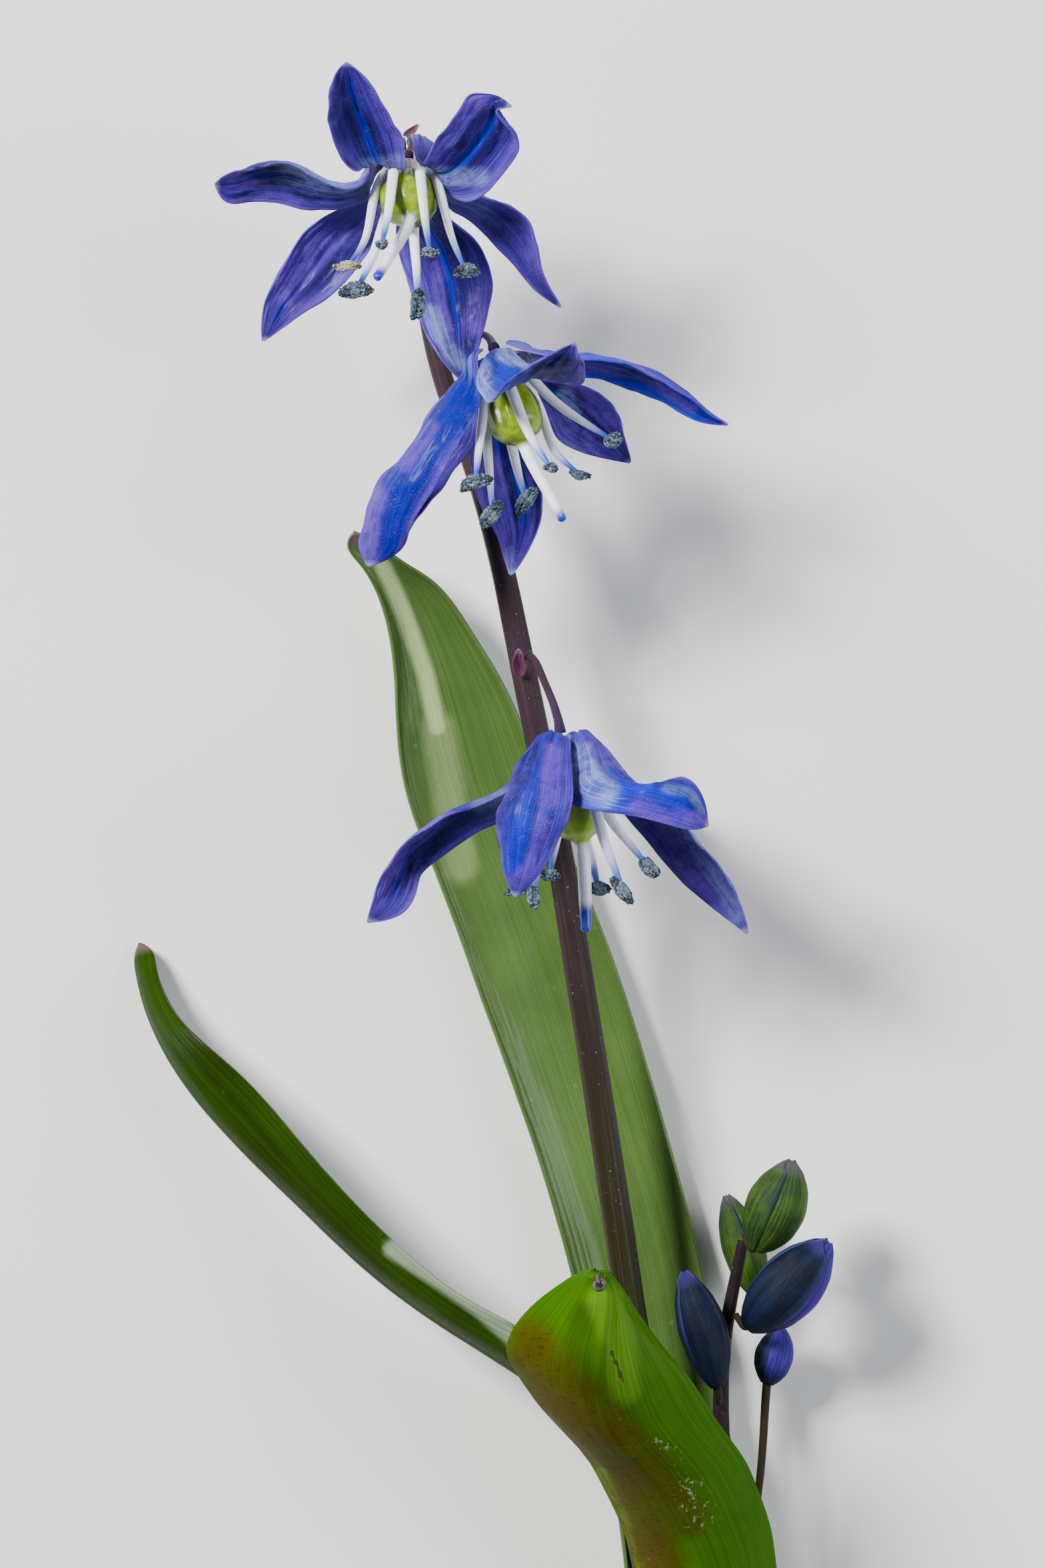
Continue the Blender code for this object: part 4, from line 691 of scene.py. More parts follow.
# ------------------------------------------------------------------ materials
def petal_look():
    k = Look("petal")
    t, v = k.uv()
    s = k.m("MULTIPLY_ADD", v, 2.0, -1.0)
    seed = k.attr("seed")
    side = k.attr("side")
    where = k.xyz(t, s, seed)
    p = k.place()
    # the midrib wanders a little
    s2 = k.m("ADD", s, k.m("MULTIPLY", k.m("SUBTRACT", k.noise(k.scaled(where, (2.2, 0.3, 7.0)), 1.0, 2), 0.5), 0.16))
    a = k.m("ABSOLUTE", s2)
    streak = k.noise(k.scaled(where, (1.3, 22.0, 9.0)), 1.0, 4, 0.6)
    veins = k.noise(k.scaled(where, (2.2, 52.0, 5.0)), 1.0, 3, 0.5)
    patch = k.noise(k.scaled(where, (3.5, 2.4, 11.0)), 1.0, 3, 0.6)
    fine = k.noise(p, 5200.0, 3, 0.6)
    body = k.mix(k.step(patch, 0.36, 0.64), (0.011, 0.006, 0.105), (0.035, 0.019, 0.26))
    body = k.mix(k.m("MULTIPLY", k.step(streak, 0.45, 0.68), 0.8), body, (0.092, 0.048, 0.38))
    deep = k.mix(k.step(veins, 0.35, 0.65), (0.003, 0.001, 0.045), (0.011, 0.005, 0.12))
    # darker bands on both sides of the midrib, then the bright midrib
    band = k.m("MULTIPLY", k.step(a, 0.66, 0.20), k.step(t, 0.98, 0.60))
    body = k.mix(k.m("MULTIPLY", band, k.step(patch, 0.28, 0.60, 0.45, 0.95)), body, deep)
    width = k.step(t, 0.1, 0.6, 0.20, 0.14)
    stripe = k.step(k.m("DIVIDE", a, width), 1.2, 0.4)
    stripe = k.m("MULTIPLY", stripe, k.step(t, 0.98, 0.84))
    azure = k.mix(k.step(streak, 0.35, 0.65), (0.003, 0.003, 0.17), (0.0005, 0.020, 0.52))
    body = k.mix(k.m("MULTIPLY", stripe, 0.95), body, azure)
    # violet, paler margins
    rim = k.m("MULTIPLY", k.step(k.m("ABSOLUTE", s), 0.62, 1.0), k.step(streak, 0.25, 0.55, 0.45, 1.0))
    body = k.mix(k.m("MULTIPLY", rim, 0.9), body, (0.120, 0.064, 0.46))
    # pale base with streaks running up between the veins
    root = k.m("MULTIPLY", k.step(t, 0.46, 0.12), k.step(k.m("ADD", veins, k.step(t, 0.34, 0.0, 0.0, 0.38)), 0.36, 0.62))
    body = k.mix(k.m("MULTIPLY", root, 0.85), body, (0.20, 0.20, 0.40))
    # the outer face: brighter blue, a pale washed base and a few violet runs
    wash = k.noise(k.scaled(where, (5.0, 4.0, 3.0)), 1.0, 4, 0.65)
    outer = k.mix(k.step(wash, 0.38, 0.62), (0.007, 0.004, 0.13), (0.013, 0.012, 0.33))
    outer = k.mix(k.m("MULTIPLY", k.step(streak, 0.48, 0.70), 0.75), outer, (0.052, 0.040, 0.44))
    outer = k.mix(k.m("MULTIPLY", stripe, 0.9), outer, (0.0005, 0.010, 0.30))
    outer = k.mix(k.m("MULTIPLY", k.step(t, 0.22, 0.04), k.step(wash, 0.45, 0.62)), outer, (0.13, 0.19, 0.52))
    outer = k.mix(k.m("MULTIPLY", rim, 0.75), outer, (0.085, 0.046, 0.44))
    colour = k.mix(side, body, outer)
    # local runs of dark, azure, violet and white: partly the tepals' own colour and partly painted light and shade
    # (paler runs lift tepals that turn from the lamp)
    rag = k.m("ADD", k.m("MULTIPLY", streak, 0.5), k.m("MULTIPLY", k.noise(p, 1100.0, 4, 0.65, 0.6), 0.5))
    for name, tone in (("deep", (0.004, 0.002, 0.055)), ("azure", (0.0005, 0.009, 0.25)), ("blue", (0.0005, 0.017, 0.56)), ("violet", (0.098, 0.044, 0.39)), ("pale", (0.20, 0.27, 0.60))):
        f = k.m("MULTIPLY", k.attr(name), k.step(rag, 0.40, 0.58, 0.30, 1.1), clamp=True)
        colour = k.mix(f, colour, tone)
    # painted highlight: the tips of the tepals are whitened
    tip = k.step(t, 0.965, 0.998)
    colour = k.mix(k.m("MULTIPLY", tip, 0.8), colour, (0.32, 0.32, 0.60))
    grains = k.cells(p, 9000.0)
    # painted glints: tiny blue-white specks stand in for the sparkle of the cells
    glint = k.m("MULTIPLY", k.step(grains, 0.30, 0.10), k.step(k.noise(p, 1500.0, 2), 0.5, 0.72))
    colour = k.mix(k.m("MULTIPLY", glint, 0.50), colour, (0.32, 0.34, 0.90))
    height = k.m("ADD", k.m("MULTIPLY", k.noise(k.scaled(where, (1.5, 40.0, 9.0)), 1.0, 3), 0.7), k.m("MULTIPLY", grains, -0.25))
    normal = k.bump(height, 0.8, 0.16)
    rough = k.step(k.noise(p, 2200.0, 3), 0.3, 0.7, 0.30, 0.52)
    return k.done(colour, rough, normal, spec=0.10, coat=0.06, coat_rough=0.22)


def leaf_look(name, light, dark, vein_bright, gloss=0.3, extra=None, keel_light=0.15, shine=(0.40, 0.46, 0.27), specks=0.5, spec=0.30, coat=0.05):
    k = Look(name)
    t, v = k.uv()
    s = k.m("MULTIPLY_ADD", v, 2.0, -1.0)
    seed = k.attr("seed")
    where = k.xyz(t, s, seed)
    p = k.place()
    veins = k.noise(k.scaled(where, (1.6, 34.0, 5.0)), 1.0, 4, 0.55)
    lines = k.noise(k.scaled(where, (3.5, 95.0, 3.0)), 1.0, 2, 0.5)
    patch = k.noise(p, 190.0, 4, 0.6)
    fine = k.noise(p, 3200.0, 3, 0.6)
    colour = k.mix(k.step(k.m("ADD", k.m("MULTIPLY", patch, 0.35), k.m("MULTIPLY", veins, 0.65)), 0.34, 0.66), dark, light)
    colour = k.mix(k.m("MULTIPLY", k.step(lines, 0.52, 0.72), 0.35), colour, vein_bright)
    # the keel
    keel = k.step(k.m("ABSOLUTE", s), 0.10, 0.0)
    colour = k.mix(k.m("MULTIPLY", keel, keel_light), colour, vein_bright)
    # the blanched foot, and the brown tip
    foot = k.step(t, 0.16, 0.0)
    colour = k.mix(k.m("MULTIPLY", foot, 0.8), colour, (0.42, 0.46, 0.25))
    colour = k.mix(k.m("MULTIPLY", k.step(t, 0.982, 0.996), 0.8), colour, (0.13, 0.085, 0.095))
    # a painted highlight on the crest (a band of reflected light), broken by the veins, and painted shade in the
    # hollows and on the half turned from the lamp
    colour = k.mix(k.m("MULTIPLY", k.attr("deep"), k.step(lines, 0.25, 0.6, 0.8, 1.0), clamp=True), colour, k.mix(0.75, colour, (0.008, 0.015, 0.001)))
    colour = k.mix(k.m("MULTIPLY", k.attr("pale"), k.step(k.m("ADD", k.m("MULTIPLY", lines, 0.6), k.m("MULTIPLY", veins, 0.4)), 0.30, 0.62, 0.55, 1.0), clamp=True), colour, shine)
    # small dry specks
    dots = k.m("MULTIPLY", k.step(k.cells(p, 900.0), 0.17, 0.07), k.step(k.noise(p, 260.0, 2), 0.60, 0.70))
    colour = k.mix(k.m("MULTIPLY", dots, specks), colour, (0.42, 0.44, 0.30))
    if extra:
        colour = extra(k, colour, t, s, p, veins, lines)
    height = k.m("ADD", k.m("MULTIPLY", lines, 0.5), k.m("ADD", k.m("MULTIPLY", veins, 0.8), k.m("MULTIPLY", fine, 0.18)))
    normal = k.bump(height, 0.45, 0.13)
    rough = k.m("ADD", k.step(fine, 0.3, 0.7, -0.05, 0.07), k.m("ADD", k.m("MULTIPLY", patch, 0.10), gloss))
    return k.done(colour, rough, normal, spec=spec, coat=coat, coat_rough=0.14)


def front_stain(k, colour, t, s, p, veins, lines):
    """Reddish-brown stain left of the midrib, a torn slit drawn in painted shade with a painted highlight on its lip,
    and white scuffs; the pale folded edge at the foot is a painted highlight laid on by the leaf's pale runs.
    """
    cloud = k.noise(p, 330.0, 5, 0.62, 0.4)
    streak = k.noise(k.scaled(k.xyz(t, s, 0.0), (5.0, 46.0, 1.0)), 1.0, 5, 0.65)
    f = k.m("MULTIPLY", k.attr("stain"), k.step(k.m("ADD", k.m("MULTIPLY", cloud, 0.5), k.m("MULTIPLY", streak, 0.5)), 0.34, 0.58, 0.42, 1.0))
    colour = k.mix(k.m("MULTIPLY", f, 0.95), colour, (0.056, 0.040, 0.0005))
    crease = k.noise(k.scaled(k.xyz(t, s, 0.0), (150.0, 9.0, 1.0)), 1.0, 3, 0.6)
    colour = k.mix(k.m("MULTIPLY", k.m("MULTIPLY", f, k.step(crease, 0.54, 0.66)), 0.55), colour, (0.020, 0.016, 0.0004))
    red = k.m("MULTIPLY", f, k.step(streak, 0.52, 0.66))
    colour = k.mix(k.m("MULTIPLY", red, 0.55), colour, (0.090, 0.034, 0.001))
    # the torn slit: a dark line of painted shade in the opening, with a pale painted highlight on its lip
    slit = k.attr("slit")
    colour = k.mix(k.m("MULTIPLY", k.step(slit, 0.30, 0.60), 0.35), colour, (0.12, 0.20, 0.03))
    colour = k.mix(k.m("MULTIPLY", k.step(k.m("ADD", slit, k.m("MULTIPLY", k.m("SUBTRACT", cloud, 0.5), 0.3)), 0.80, 0.95), 0.75), colour, (0.020, 0.035, 0.004))
    scuff = k.m("MULTIPLY", k.step(k.noise(p, 2600.0, 4, 0.7), 0.55, 0.68), k.attr("scuff"))
    return k.mix(k.m("MULTIPLY", scuff, 0.65), colour, (0.40, 0.44, 0.30))


def stem_look(name, low, high, at_low, at_high, speck=(0.32, 0.30, 0.30)):
    k = Look(name)
    along, ang, seed = k.attr("along"), k.attr("round"), k.attr("seed")
    p = k.place()
    wide = k.noise(k.xyz(along, k.m("SINE", k.m("MULTIPLY", ang, 6.2832)), k.m("COSINE", k.m("MULTIPLY", ang, 6.2832))), 0.6, 3)
    ribs = k.noise(k.xyz(k.m("MULTIPLY", along, 0.10), k.m("MULTIPLY", k.m("SINE", k.m("MULTIPLY", ang, 6.2832)), 7.0), k.m("MULTIPLY", k.m("COSINE", k.m("MULTIPLY", ang, 6.2832)), 7.0)), 1.0, 4, 0.6)
    fine = k.noise(p, 5200.0, 4, 0.65)
    colour = k.mix(k.step(along, at_low, at_high), low, high)
    colour = k.mix(k.m("MULTIPLY", k.step(ribs, 0.45, 0.70), 0.4), colour, k.mix(0.5, colour, (0.10, 0.08, 0.085)))
    colour = k.mix(k.m("MULTIPLY", k.step(wide, 0.45, 0.8), 0.4), colour, k.mix(0.5, colour, (0.02, 0.012, 0.016)))
    dots = k.m("MULTIPLY", k.step(k.cells(p, 2400.0), 0.20, 0.08), k.step(k.noise(p, 900.0, 2), 0.52, 0.66))
    colour = k.mix(k.m("MULTIPLY", dots, 0.6), colour, speck)
    height = k.m("ADD", k.m("MULTIPLY", ribs, 0.8), k.m("MULTIPLY", fine, 0.35))
    return k.done(colour, k.step(fine, 0.3, 0.7, 0.34, 0.52), k.bump(height, 0.6, 0.12), spec=0.10)


def filament_look():
    k = Look("filament")
    along = k.attr("along")
    p = k.place()
    lines = k.noise(k.xyz(k.m("MULTIPLY", along, 3.0), k.m("MULTIPLY", k.attr("round"), 16.0), k.attr("seed")), 1.0, 3)
    colour = k.mix(k.step(lines, 0.35, 0.7), (0.74, 0.77, 0.90), (0.94, 0.95, 0.99))
    colour = k.mix(k.step(along, 0.66, 0.93), colour, (0.02, 0.075, 0.50))
    colour = k.mix(k.step(along, 0.14, 0.0), colour, (0.42, 0.50, 0.74))
    height = k.m("ADD", lines, k.m("MULTIPLY", k.noise(p, 6000.0, 2), 0.3))
    return k.done(colour, 0.38, k.bump(height, 0.4, 0.06), spec=0.4, sss=0.15, sss_mm=(0.3, 0.3, 0.4))


def anther_look():
    k = Look("anther")
    p = k.place()
    grain = k.attr("grain")
    clump = k.noise(p, 2600.0, 3, 0.6)
    small = k.cells(p, 12000.0)
    base = k.mix(k.step(clump, 0.35, 0.7), (0.012, 0.021, 0.036), (0.042, 0.066, 0.092))
    dust = k.mix(k.step(clump, 0.36, 0.66), (0.060, 0.092, 0.135), (0.155, 0.22, 0.28))
    # a few grains are painted near white: painted highlights
    dust = k.mix(k.m("MULTIPLY", k.step(k.attr("rank"), 0.72, 0.9), 0.45), dust, (0.40, 0.46, 0.50))
    colour = k.mix(k.step(grain, 0.45, 0.95), base, dust)
    yellow = k.step(k.attr("seed"), 0.5, 0.6)
    colour = k.mix(k.m("MULTIPLY", yellow, 0.85), colour, k.mix(k.step(grain, 0.2, 0.7), (0.10, 0.09, 0.05), (0.50, 0.48, 0.33)))
    height = k.m("SUBTRACT", k.m("MULTIPLY", clump, 0.5), small)
    return k.done(colour, 0.72, k.bump(height, 0.9, 0.10), spec=0.3)


def pistil_look():
    k = Look("pistil")
    mm = k.attr("along")
    p = k.place()
    ang = k.m("MULTIPLY", k.attr("round"), 6.2832)
    patch = k.noise(p, 700.0, 4, 0.6)
    fine = k.noise(p, 4200.0, 3, 0.6)
    green = k.mix(k.step(patch, 0.35, 0.65), (0.085, 0.150, 0.003), (0.25, 0.36, 0.006))
    # a pale line down each lobe
    line = k.m("ABSOLUTE", k.m("SINE", k.m("MULTIPLY", ang, 1.5)))
    green = k.mix(k.m("MULTIPLY", k.step(line, 0.30, 0.02), 0.5), green, (0.060, 0.11, 0.003))
    green = k.mix(k.m("MULTIPLY", k.step(k.cells(p, 1900.0), 0.25, 0.1), 0.25), green, (0.42, 0.52, 0.10))
    # painted light: the lower ovary (seed 1) is painted a brighter green to lift the shade its tepals cast on it
    green = k.mix(k.m("MULTIPLY", k.attr("seed"), 0.75), green, (0.34, 0.56, 0.05))
    white = k.mix(k.step(fine, 0.4, 0.65), (0.80, 0.82, 0.94), (0.95, 0.95, 0.99))
    colour = k.mix(k.step(k.attr("past"), 0.12, 0.55), green, white)
    colour = k.mix(k.step(k.m("SUBTRACT", k.attr("share"), k.attr("tipped")), 0.0, 0.085), colour, (0.012, 0.030, 0.36))
    colour = k.mix(k.step(mm, 1.5, 0.9), colour, (0.10, 0.16, 0.50))
    height = k.m("ADD", k.m("MULTIPLY", fine, 0.4), patch)
    return k.done(colour, k.step(k.attr("past"), -0.2, 0.6, 0.30, 0.36), k.bump(height, 0.35, 0.08), spec=0.4, coat=0.08, coat_rough=0.2, sss=0.12, sss_mm=(0.4, 0.5, 0.3))


def hook_look():
    k = Look("leaf_hook")
    p = k.place()
    fine = k.noise(p, 4200.0, 4, 0.65)
    colour = k.mix(k.step(fine, 0.38, 0.62), (0.030, 0.018, 0.022), (0.095, 0.072, 0.085))
    colour = k.mix(k.m("MULTIPLY", k.step(k.noise(p, 1500.0, 2), 0.50, 0.62), 0.5), colour, (0.05, 0.07, 0.012))
    return k.done(colour, 0.32, k.bump(fine, 0.6, 0.08), spec=0.45, coat=0.15, coat_rough=0.12)


def bract_look():
    k = Look("bract")
    t, v = k.uv()
    p = k.place()
    streak = k.noise(k.xyz(k.m("MULTIPLY", t, 2.0), k.m("MULTIPLY", v, 14.0), k.attr("seed")), 1.0, 3)
    colour = k.mix(k.step(streak, 0.35, 0.7), (0.060, 0.012, 0.030), (0.17, 0.045, 0.11))
    colour = k.mix(k.step(t, 0.7, 1.0), colour, (0.22, 0.09, 0.16))
    return k.done(colour, 0.42, k.bump(k.m("ADD", streak, k.m("MULTIPLY", k.noise(p, 6000.0, 2), 0.3)), 0.5, 0.06), spec=0.5, sss=0.1, sss_mm=(0.5, 0.2, 0.3))


def bud_look(name, dark, light, edge, tip):
    k = Look(name)
    t, v = k.uv()
    s = k.m("MULTIPLY_ADD", v, 2.0, -1.0)
    p = k.place()
    where = k.xyz(t, s, k.attr("seed"))
    streak = k.noise(k.scaled(where, (1.5, 16.0, 5.0)), 1.0, 4, 0.6)
    patch = k.noise(p, 420.0, 3, 0.6)
    colour = k.mix(k.step(k.m("ADD", k.m("MULTIPLY", streak, 0.5), k.m("MULTIPLY", patch, 0.5)), 0.36, 0.62), dark, light)
    rib = k.step(k.m("ABSOLUTE", s), 0.16, 0.02)
    colour = k.mix(k.m("MULTIPLY", rib, 0.5), colour, dark)
    rim = k.m("MULTIPLY", k.step(k.m("ABSOLUTE", s), 0.70, 1.0), k.step(t, 0.15, 0.7))
    colour = k.mix(k.m("MULTIPLY", rim, 0.8), colour, edge)
    colour = k.mix(k.m("MULTIPLY", k.step(t, 0.84, 1.0), 0.75), colour, tip)
    colour = k.mix(k.attr("violet"), colour, k.mix(k.step(streak, 0.4, 0.65), (0.018, 0.008, 0.13), (0.060, 0.030, 0.34)))
    height = k.m("ADD", streak, k.m("MULTIPLY", k.noise(p, 5000.0, 3), 0.3))
    return k.done(colour, 0.55, k.bump(height, 0.7, 0.14), spec=0.12)


LOOKS = {
    "petal": petal_look(),
    "leaf_rear": leaf_look("leaf_rear", (0.074, 0.136, 0.030), (0.046, 0.089, 0.018), (0.095, 0.166, 0.040), gloss=0.20, keel_light=0.0, shine=(0.44, 0.56, 0.24), specks=0.12, spec=0.12, coat=0.15),
    "leaf_left": leaf_look("leaf_left", (0.020, 0.050, 0.0010), (0.009, 0.024, 0.0005), (0.036, 0.080, 0.003), gloss=0.20, keel_light=0.0, shine=(0.24, 0.31, 0.20), specks=0.2, spec=0.03, coat=0.15),
    "leaf_front": leaf_look("leaf_front", (0.036, 0.122, 0.0006), (0.022, 0.082, 0.0004), (0.050, 0.145, 0.001), gloss=0.20, extra=front_stain, keel_light=0.1, shine=(0.14, 0.32, 0.02), spec=0.0, coat=0.09),
    "stem": stem_look("stem", (0.014, 0.015, 0.0012), (0.024, 0.012, 0.018), 20.0, 70.0, speck=(0.20, 0.18, 0.19)),
    "stem_young": stem_look("stem_young", (0.018, 0.014, 0.003), (0.012, 0.006, 0.010), 5.0, 22.0),
    "pedicel": stem_look("pedicel", (0.028, 0.010, 0.024), (0.030, 0.017, 0.060), 2.0, 9.0, speck=(0.35, 0.32, 0.45)),
    "filament": filament_look(),
    "anther": anther_look(),
    "pistil": pistil_look(),
    "bract": bract_look(),
    "bud_green": bud_look("bud_green", (0.012, 0.026, 0.010), (0.048, 0.108, 0.008), (0.008, 0.020, 0.034), (0.09, 0.08, 0.11)),
    "bud_blue": bud_look("bud_blue", (0.002, 0.003, 0.008), (0.006, 0.011, 0.036), (0.028, 0.034, 0.13), (0.045, 0.030, 0.20)),
}

# ------------------------------------------------------------------ petals
RUFFLE = {"top": (0.10, 2.2), "middle": (0.10, 2.0), "lower": (0.10, 2.4)}
NT, NS = ((96, 38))


# local tones of the tepals and leaves, as seen from above: name, strength, half width, places. On the tepals they are
# partly their own colour and partly painted light and shade
TONES = {
    ("top", 1): [("pale", 0.50, 22, [(560, 280), (500, 266), (440, 258)]), ("violet", 0.9, 12, [(470, 230), (400, 228), (345, 240)]), ("violet", 0.9, 10, [(350, 268), (430, 288)]), ("deep", 0.9, 11, [(470, 250), (400, 246), (350, 252)])],
    ("top", 2): [("deep", 0.6, 26, [(500, 130), (520, 200)]), ("violet", 0.8, 9, [(485, 130), (480, 180), (505, 240)]), ("pale", 0.4, 12, [(545, 250), (600, 240)])],
    ("top", 3): [("violet", 0.8, 22, [(640, 235), (690, 160), (710, 140)]), ("deep", 0.7, 9, [(650, 250), (700, 200), (745, 150)]), ("pale", 0.45, 14, [(650, 262), (720, 265)])],
    ("top", 4): [("violet", 1.0, 24, [(735, 300), (790, 350), (830, 415)]), ("pale", 0.4, 16, [(690, 285), (720, 310)]), ("blue", 0.8, 8, [(820, 350), (845, 410), (852, 450)])],
    ("top", 5): [("violet", 0.8, 9, [(655, 400), (660, 460), (680, 520)]), ("violet", 1.0, 18, [(722, 360), (730, 430), (712, 490)]), ("pale", 0.7, 12, [(645, 470), (668, 520), (690, 545)]), ("deep", 0.8, 10, [(665, 430), (675, 500), (688, 550)])],
    ("top", 6): [("violet", 1.0, 24, [(425, 430), (480, 362), (555, 318)]), ("violet", 1.0, 20, [(450, 478), (500, 450), (545, 415)]), ("deep", 0.9, 12, [(440, 470), (500, 400), (570, 345)]), ("pale", 0.45, 14, [(590, 300), (610, 320)])],
    ("middle", 1): [("azure", 1.0, 24, [(705, 600), (645, 690), (602, 770), (575, 840)]), ("violet", 1.0, 22, [(560, 750), (550, 790), (545, 835)]), ("violet", 0.9, 12, [(690, 670), (645, 745), (605, 830)]), ("violet", 0.8, 10, [(650, 640), (610, 700)]), ("deep", 0.8, 9, [(715, 640), (680, 700), (635, 770)])],
    ("middle", 2): [("pale", 0.75, 22, [(712, 555), (720, 600)]), ("pale", 0.8, 10, [(755, 535), (785, 545)]), ("azure", 0.9, 26, [(740, 545), (775, 575)]), ("blue", 0.5, 12, [(760, 560), (740, 600)]), ("deep", 0.8, 9, [(735, 535), (745, 570), (720, 615)]),
                    ("violet", 0.9, 16, [(770, 600), (820, 585), (860, 580)]), ("deep", 0.8, 14, [(790, 565), (840, 545)])],
    ("middle", 3): [("blue", 0.95, 40, [(850, 560), (930, 580), (1010, 630), (1070, 675)]), ("violet", 0.9, 8, [(870, 548), (960, 560), (1040, 612)]), ("deep", 0.6, 8, [(900, 550), (960, 568), (1020, 610)])],
    ("middle", 4): [("violet", 1.0, 34, [(835, 640), (880, 662), (915, 690)]), ("violet", 1.0, 24, [(870, 590), (915, 620), (938, 665)]), ("pale", 0.75, 13, [(848, 590), (858, 616)]), ("pale", 0.40, 12, [(830, 665), (870, 685)]), ("deep", 0.55, 8, [(865, 608), (905, 648), (932, 690)])],
    ("middle", 5): [("violet", 1.0, 20, [(738, 700), (752, 755), (765, 810), (768, 850)]), ("blue", 0.9, 9, [(772, 690), (788, 750), (787, 815)]), ("violet", 1.0, 12, [(806, 700), (807, 760), (795, 815)]), ("pale", 0.5, 8, [(764, 830), (766, 855)])],
    ("lower", 1): [("violet", 0.9, 16, [(560, 1350), (600, 1270), (660, 1215)]), ("deep", 0.8, 12, [(620, 1300), (680, 1235), (740, 1205)]), ("pale", 0.4, 16, [(720, 1200), (745, 1195)])],
    ("lower", 2): [("deep", 0.7, 16, [(800, 1130), (770, 1190), (758, 1225)]), ("violet", 0.9, 16, [(830, 1130), (825, 1200)]), ("blue", 0.6, 14, [(780, 1220), (775, 1300)]), ("violet", 0.8, 12, [(815, 1230), (800, 1290), (775, 1325)])],
    ("lower", 3): [("pale", 0.75, 22, [(870, 1140), (885, 1170), (905, 1190)]), ("blue", 0.9, 22, [(900, 1200), (960, 1190), (1010, 1210)]), ("violet", 0.9, 14, [(960, 1210), (1000, 1228), (1050, 1232)]), ("pale", 0.35, 7, [(1000, 1185), (1035, 1190), (1052, 1215)]), ("violet", 0.8, 12, [(880, 1110), (915, 1140)]), ("deep", 0.9, 10, [(990, 1180), (1030, 1200), (1045, 1220)])],
    ("lower", 4): [("deep", 0.7, 10, [(950, 1235), (1025, 1312), (1085, 1372)]), ("violet", 1.0, 44, [(960, 1195), (1030, 1250), (1075, 1310), (1108, 1372)]), ("pale", 0.42, 14, [(985, 1205), (1045, 1262), (1085, 1322), (1108, 1372)])],
    # on the leaves, pale runs are painted highlights and deep runs painted shade; stain and scuff are real marks, and
    # the slit is drawn in painted shade with a painted highlight on its lip
    "leaf_rear": [("pale", 0.85, 13, [(575, 850), (605, 920), (637, 1010), (655, 1090)]), ("pale", 0.3, 24, [(655, 1090), (690, 1300)]), ("deep", 0.15, 26, [(690, 1050), (760, 1280), (820, 1450)])],
    "leaf_left": [("pale", 0.9, 12, [(590, 1872), (660, 1918), (720, 1960), (775, 2008)]), ("deep", 0.5, 20, [(300, 1560), (420, 1760), (560, 1900)])],
    "leaf_front": [("pale", 0.5, 22, [(905, 1950), (925, 2010), (935, 2080)]), ("deep", 0.5, 18, [(880, 1970), (865, 2020), (880, 2080)]),
                   ("stain", 1.0, 50, [(790, 2030), (850, 2100), (900, 2170), (940, 2260), (980, 2350)]), ("stain", 0.8, 34, [(860, 2080), (960, 2180), (1020, 2270)]),
                   ("slit", 1.0, 5, [(914, 2026), (921, 2043), (931, 2068)]), ("scuff", 1.0, 22, [(1030, 2225), (1047, 2268)]), ("scuff", 0.7, 14, [(985, 2160), (1005, 2180)]),
                   ("pale", 0.8, 9, [(905, 2205), (935, 2270), (962, 2350)])],
}
YELLOW = {("top", 1): 1.0}
CURL = {("lower", 3): 0.35, ("middle", 1): 0.25, ("middle", 6): -0.3, ("top", 6): 0.15, ("top", 5): -0.2, ("middle", 5): 0.2}


def hairline(x, at_, wide):
    return np.exp(-(((x - at_) / wide) ** 2))


number = 0
for key in FLOWERS:
    for i in range(6):
        number += 1
        c, axis = flower_frame(key)[:2]
        out = around(key, i)
        top, bottom, nn, tt, ss, length = tepal_blade(key, i, NT, NS, thick=0.24, ruffle=(RUFFLE[key][0], RUFFLE[key][1] + 0.3 * ((number * 7) % 5), number * 1.7))
        # groove of the midrib, fine ribs beside it, and a gentle unevenness
        width = np.linalg.norm(top[:, -1] - top[:, 0], axis=-1)[:, None]
        full = np.clip(width / 3.0, 0, 1)
        relief = -0.10 * hairline(ss, 0, 0.10) + 0.05 * hairline(np.abs(ss), 0.2, 0.08) - 0.03 * hairline(np.abs(ss), 0.38, 0.05)
        relief = relief + 0.024 * np.sin(ss * 30.0 + 3 * soft_noise(tt.shape, number, 2)) + 0.11 * soft_noise(tt.shape, 50 + number, 3, (1.6, 1.0)) + 0.05 * soft_noise(tt.shape, 90 + number, 9, (1.4, 1.0))
        relief = relief * full * np.clip((1.0 - tt) / 0.12, 0, 1)
        top = top + nn * relief[..., None]
        bottom = bottom + nn * relief[..., None]
        ob = solid_mesh(f"petal_{key}_{i + 1}", top, bottom, tt, ss, [LOOKS["petal"]], seed=number * 0.37, extra=strokes((top + bottom) / 2, TONES.get((key, i + 1), [])))
        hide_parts(f"tepal_{key}_{i + 1}")

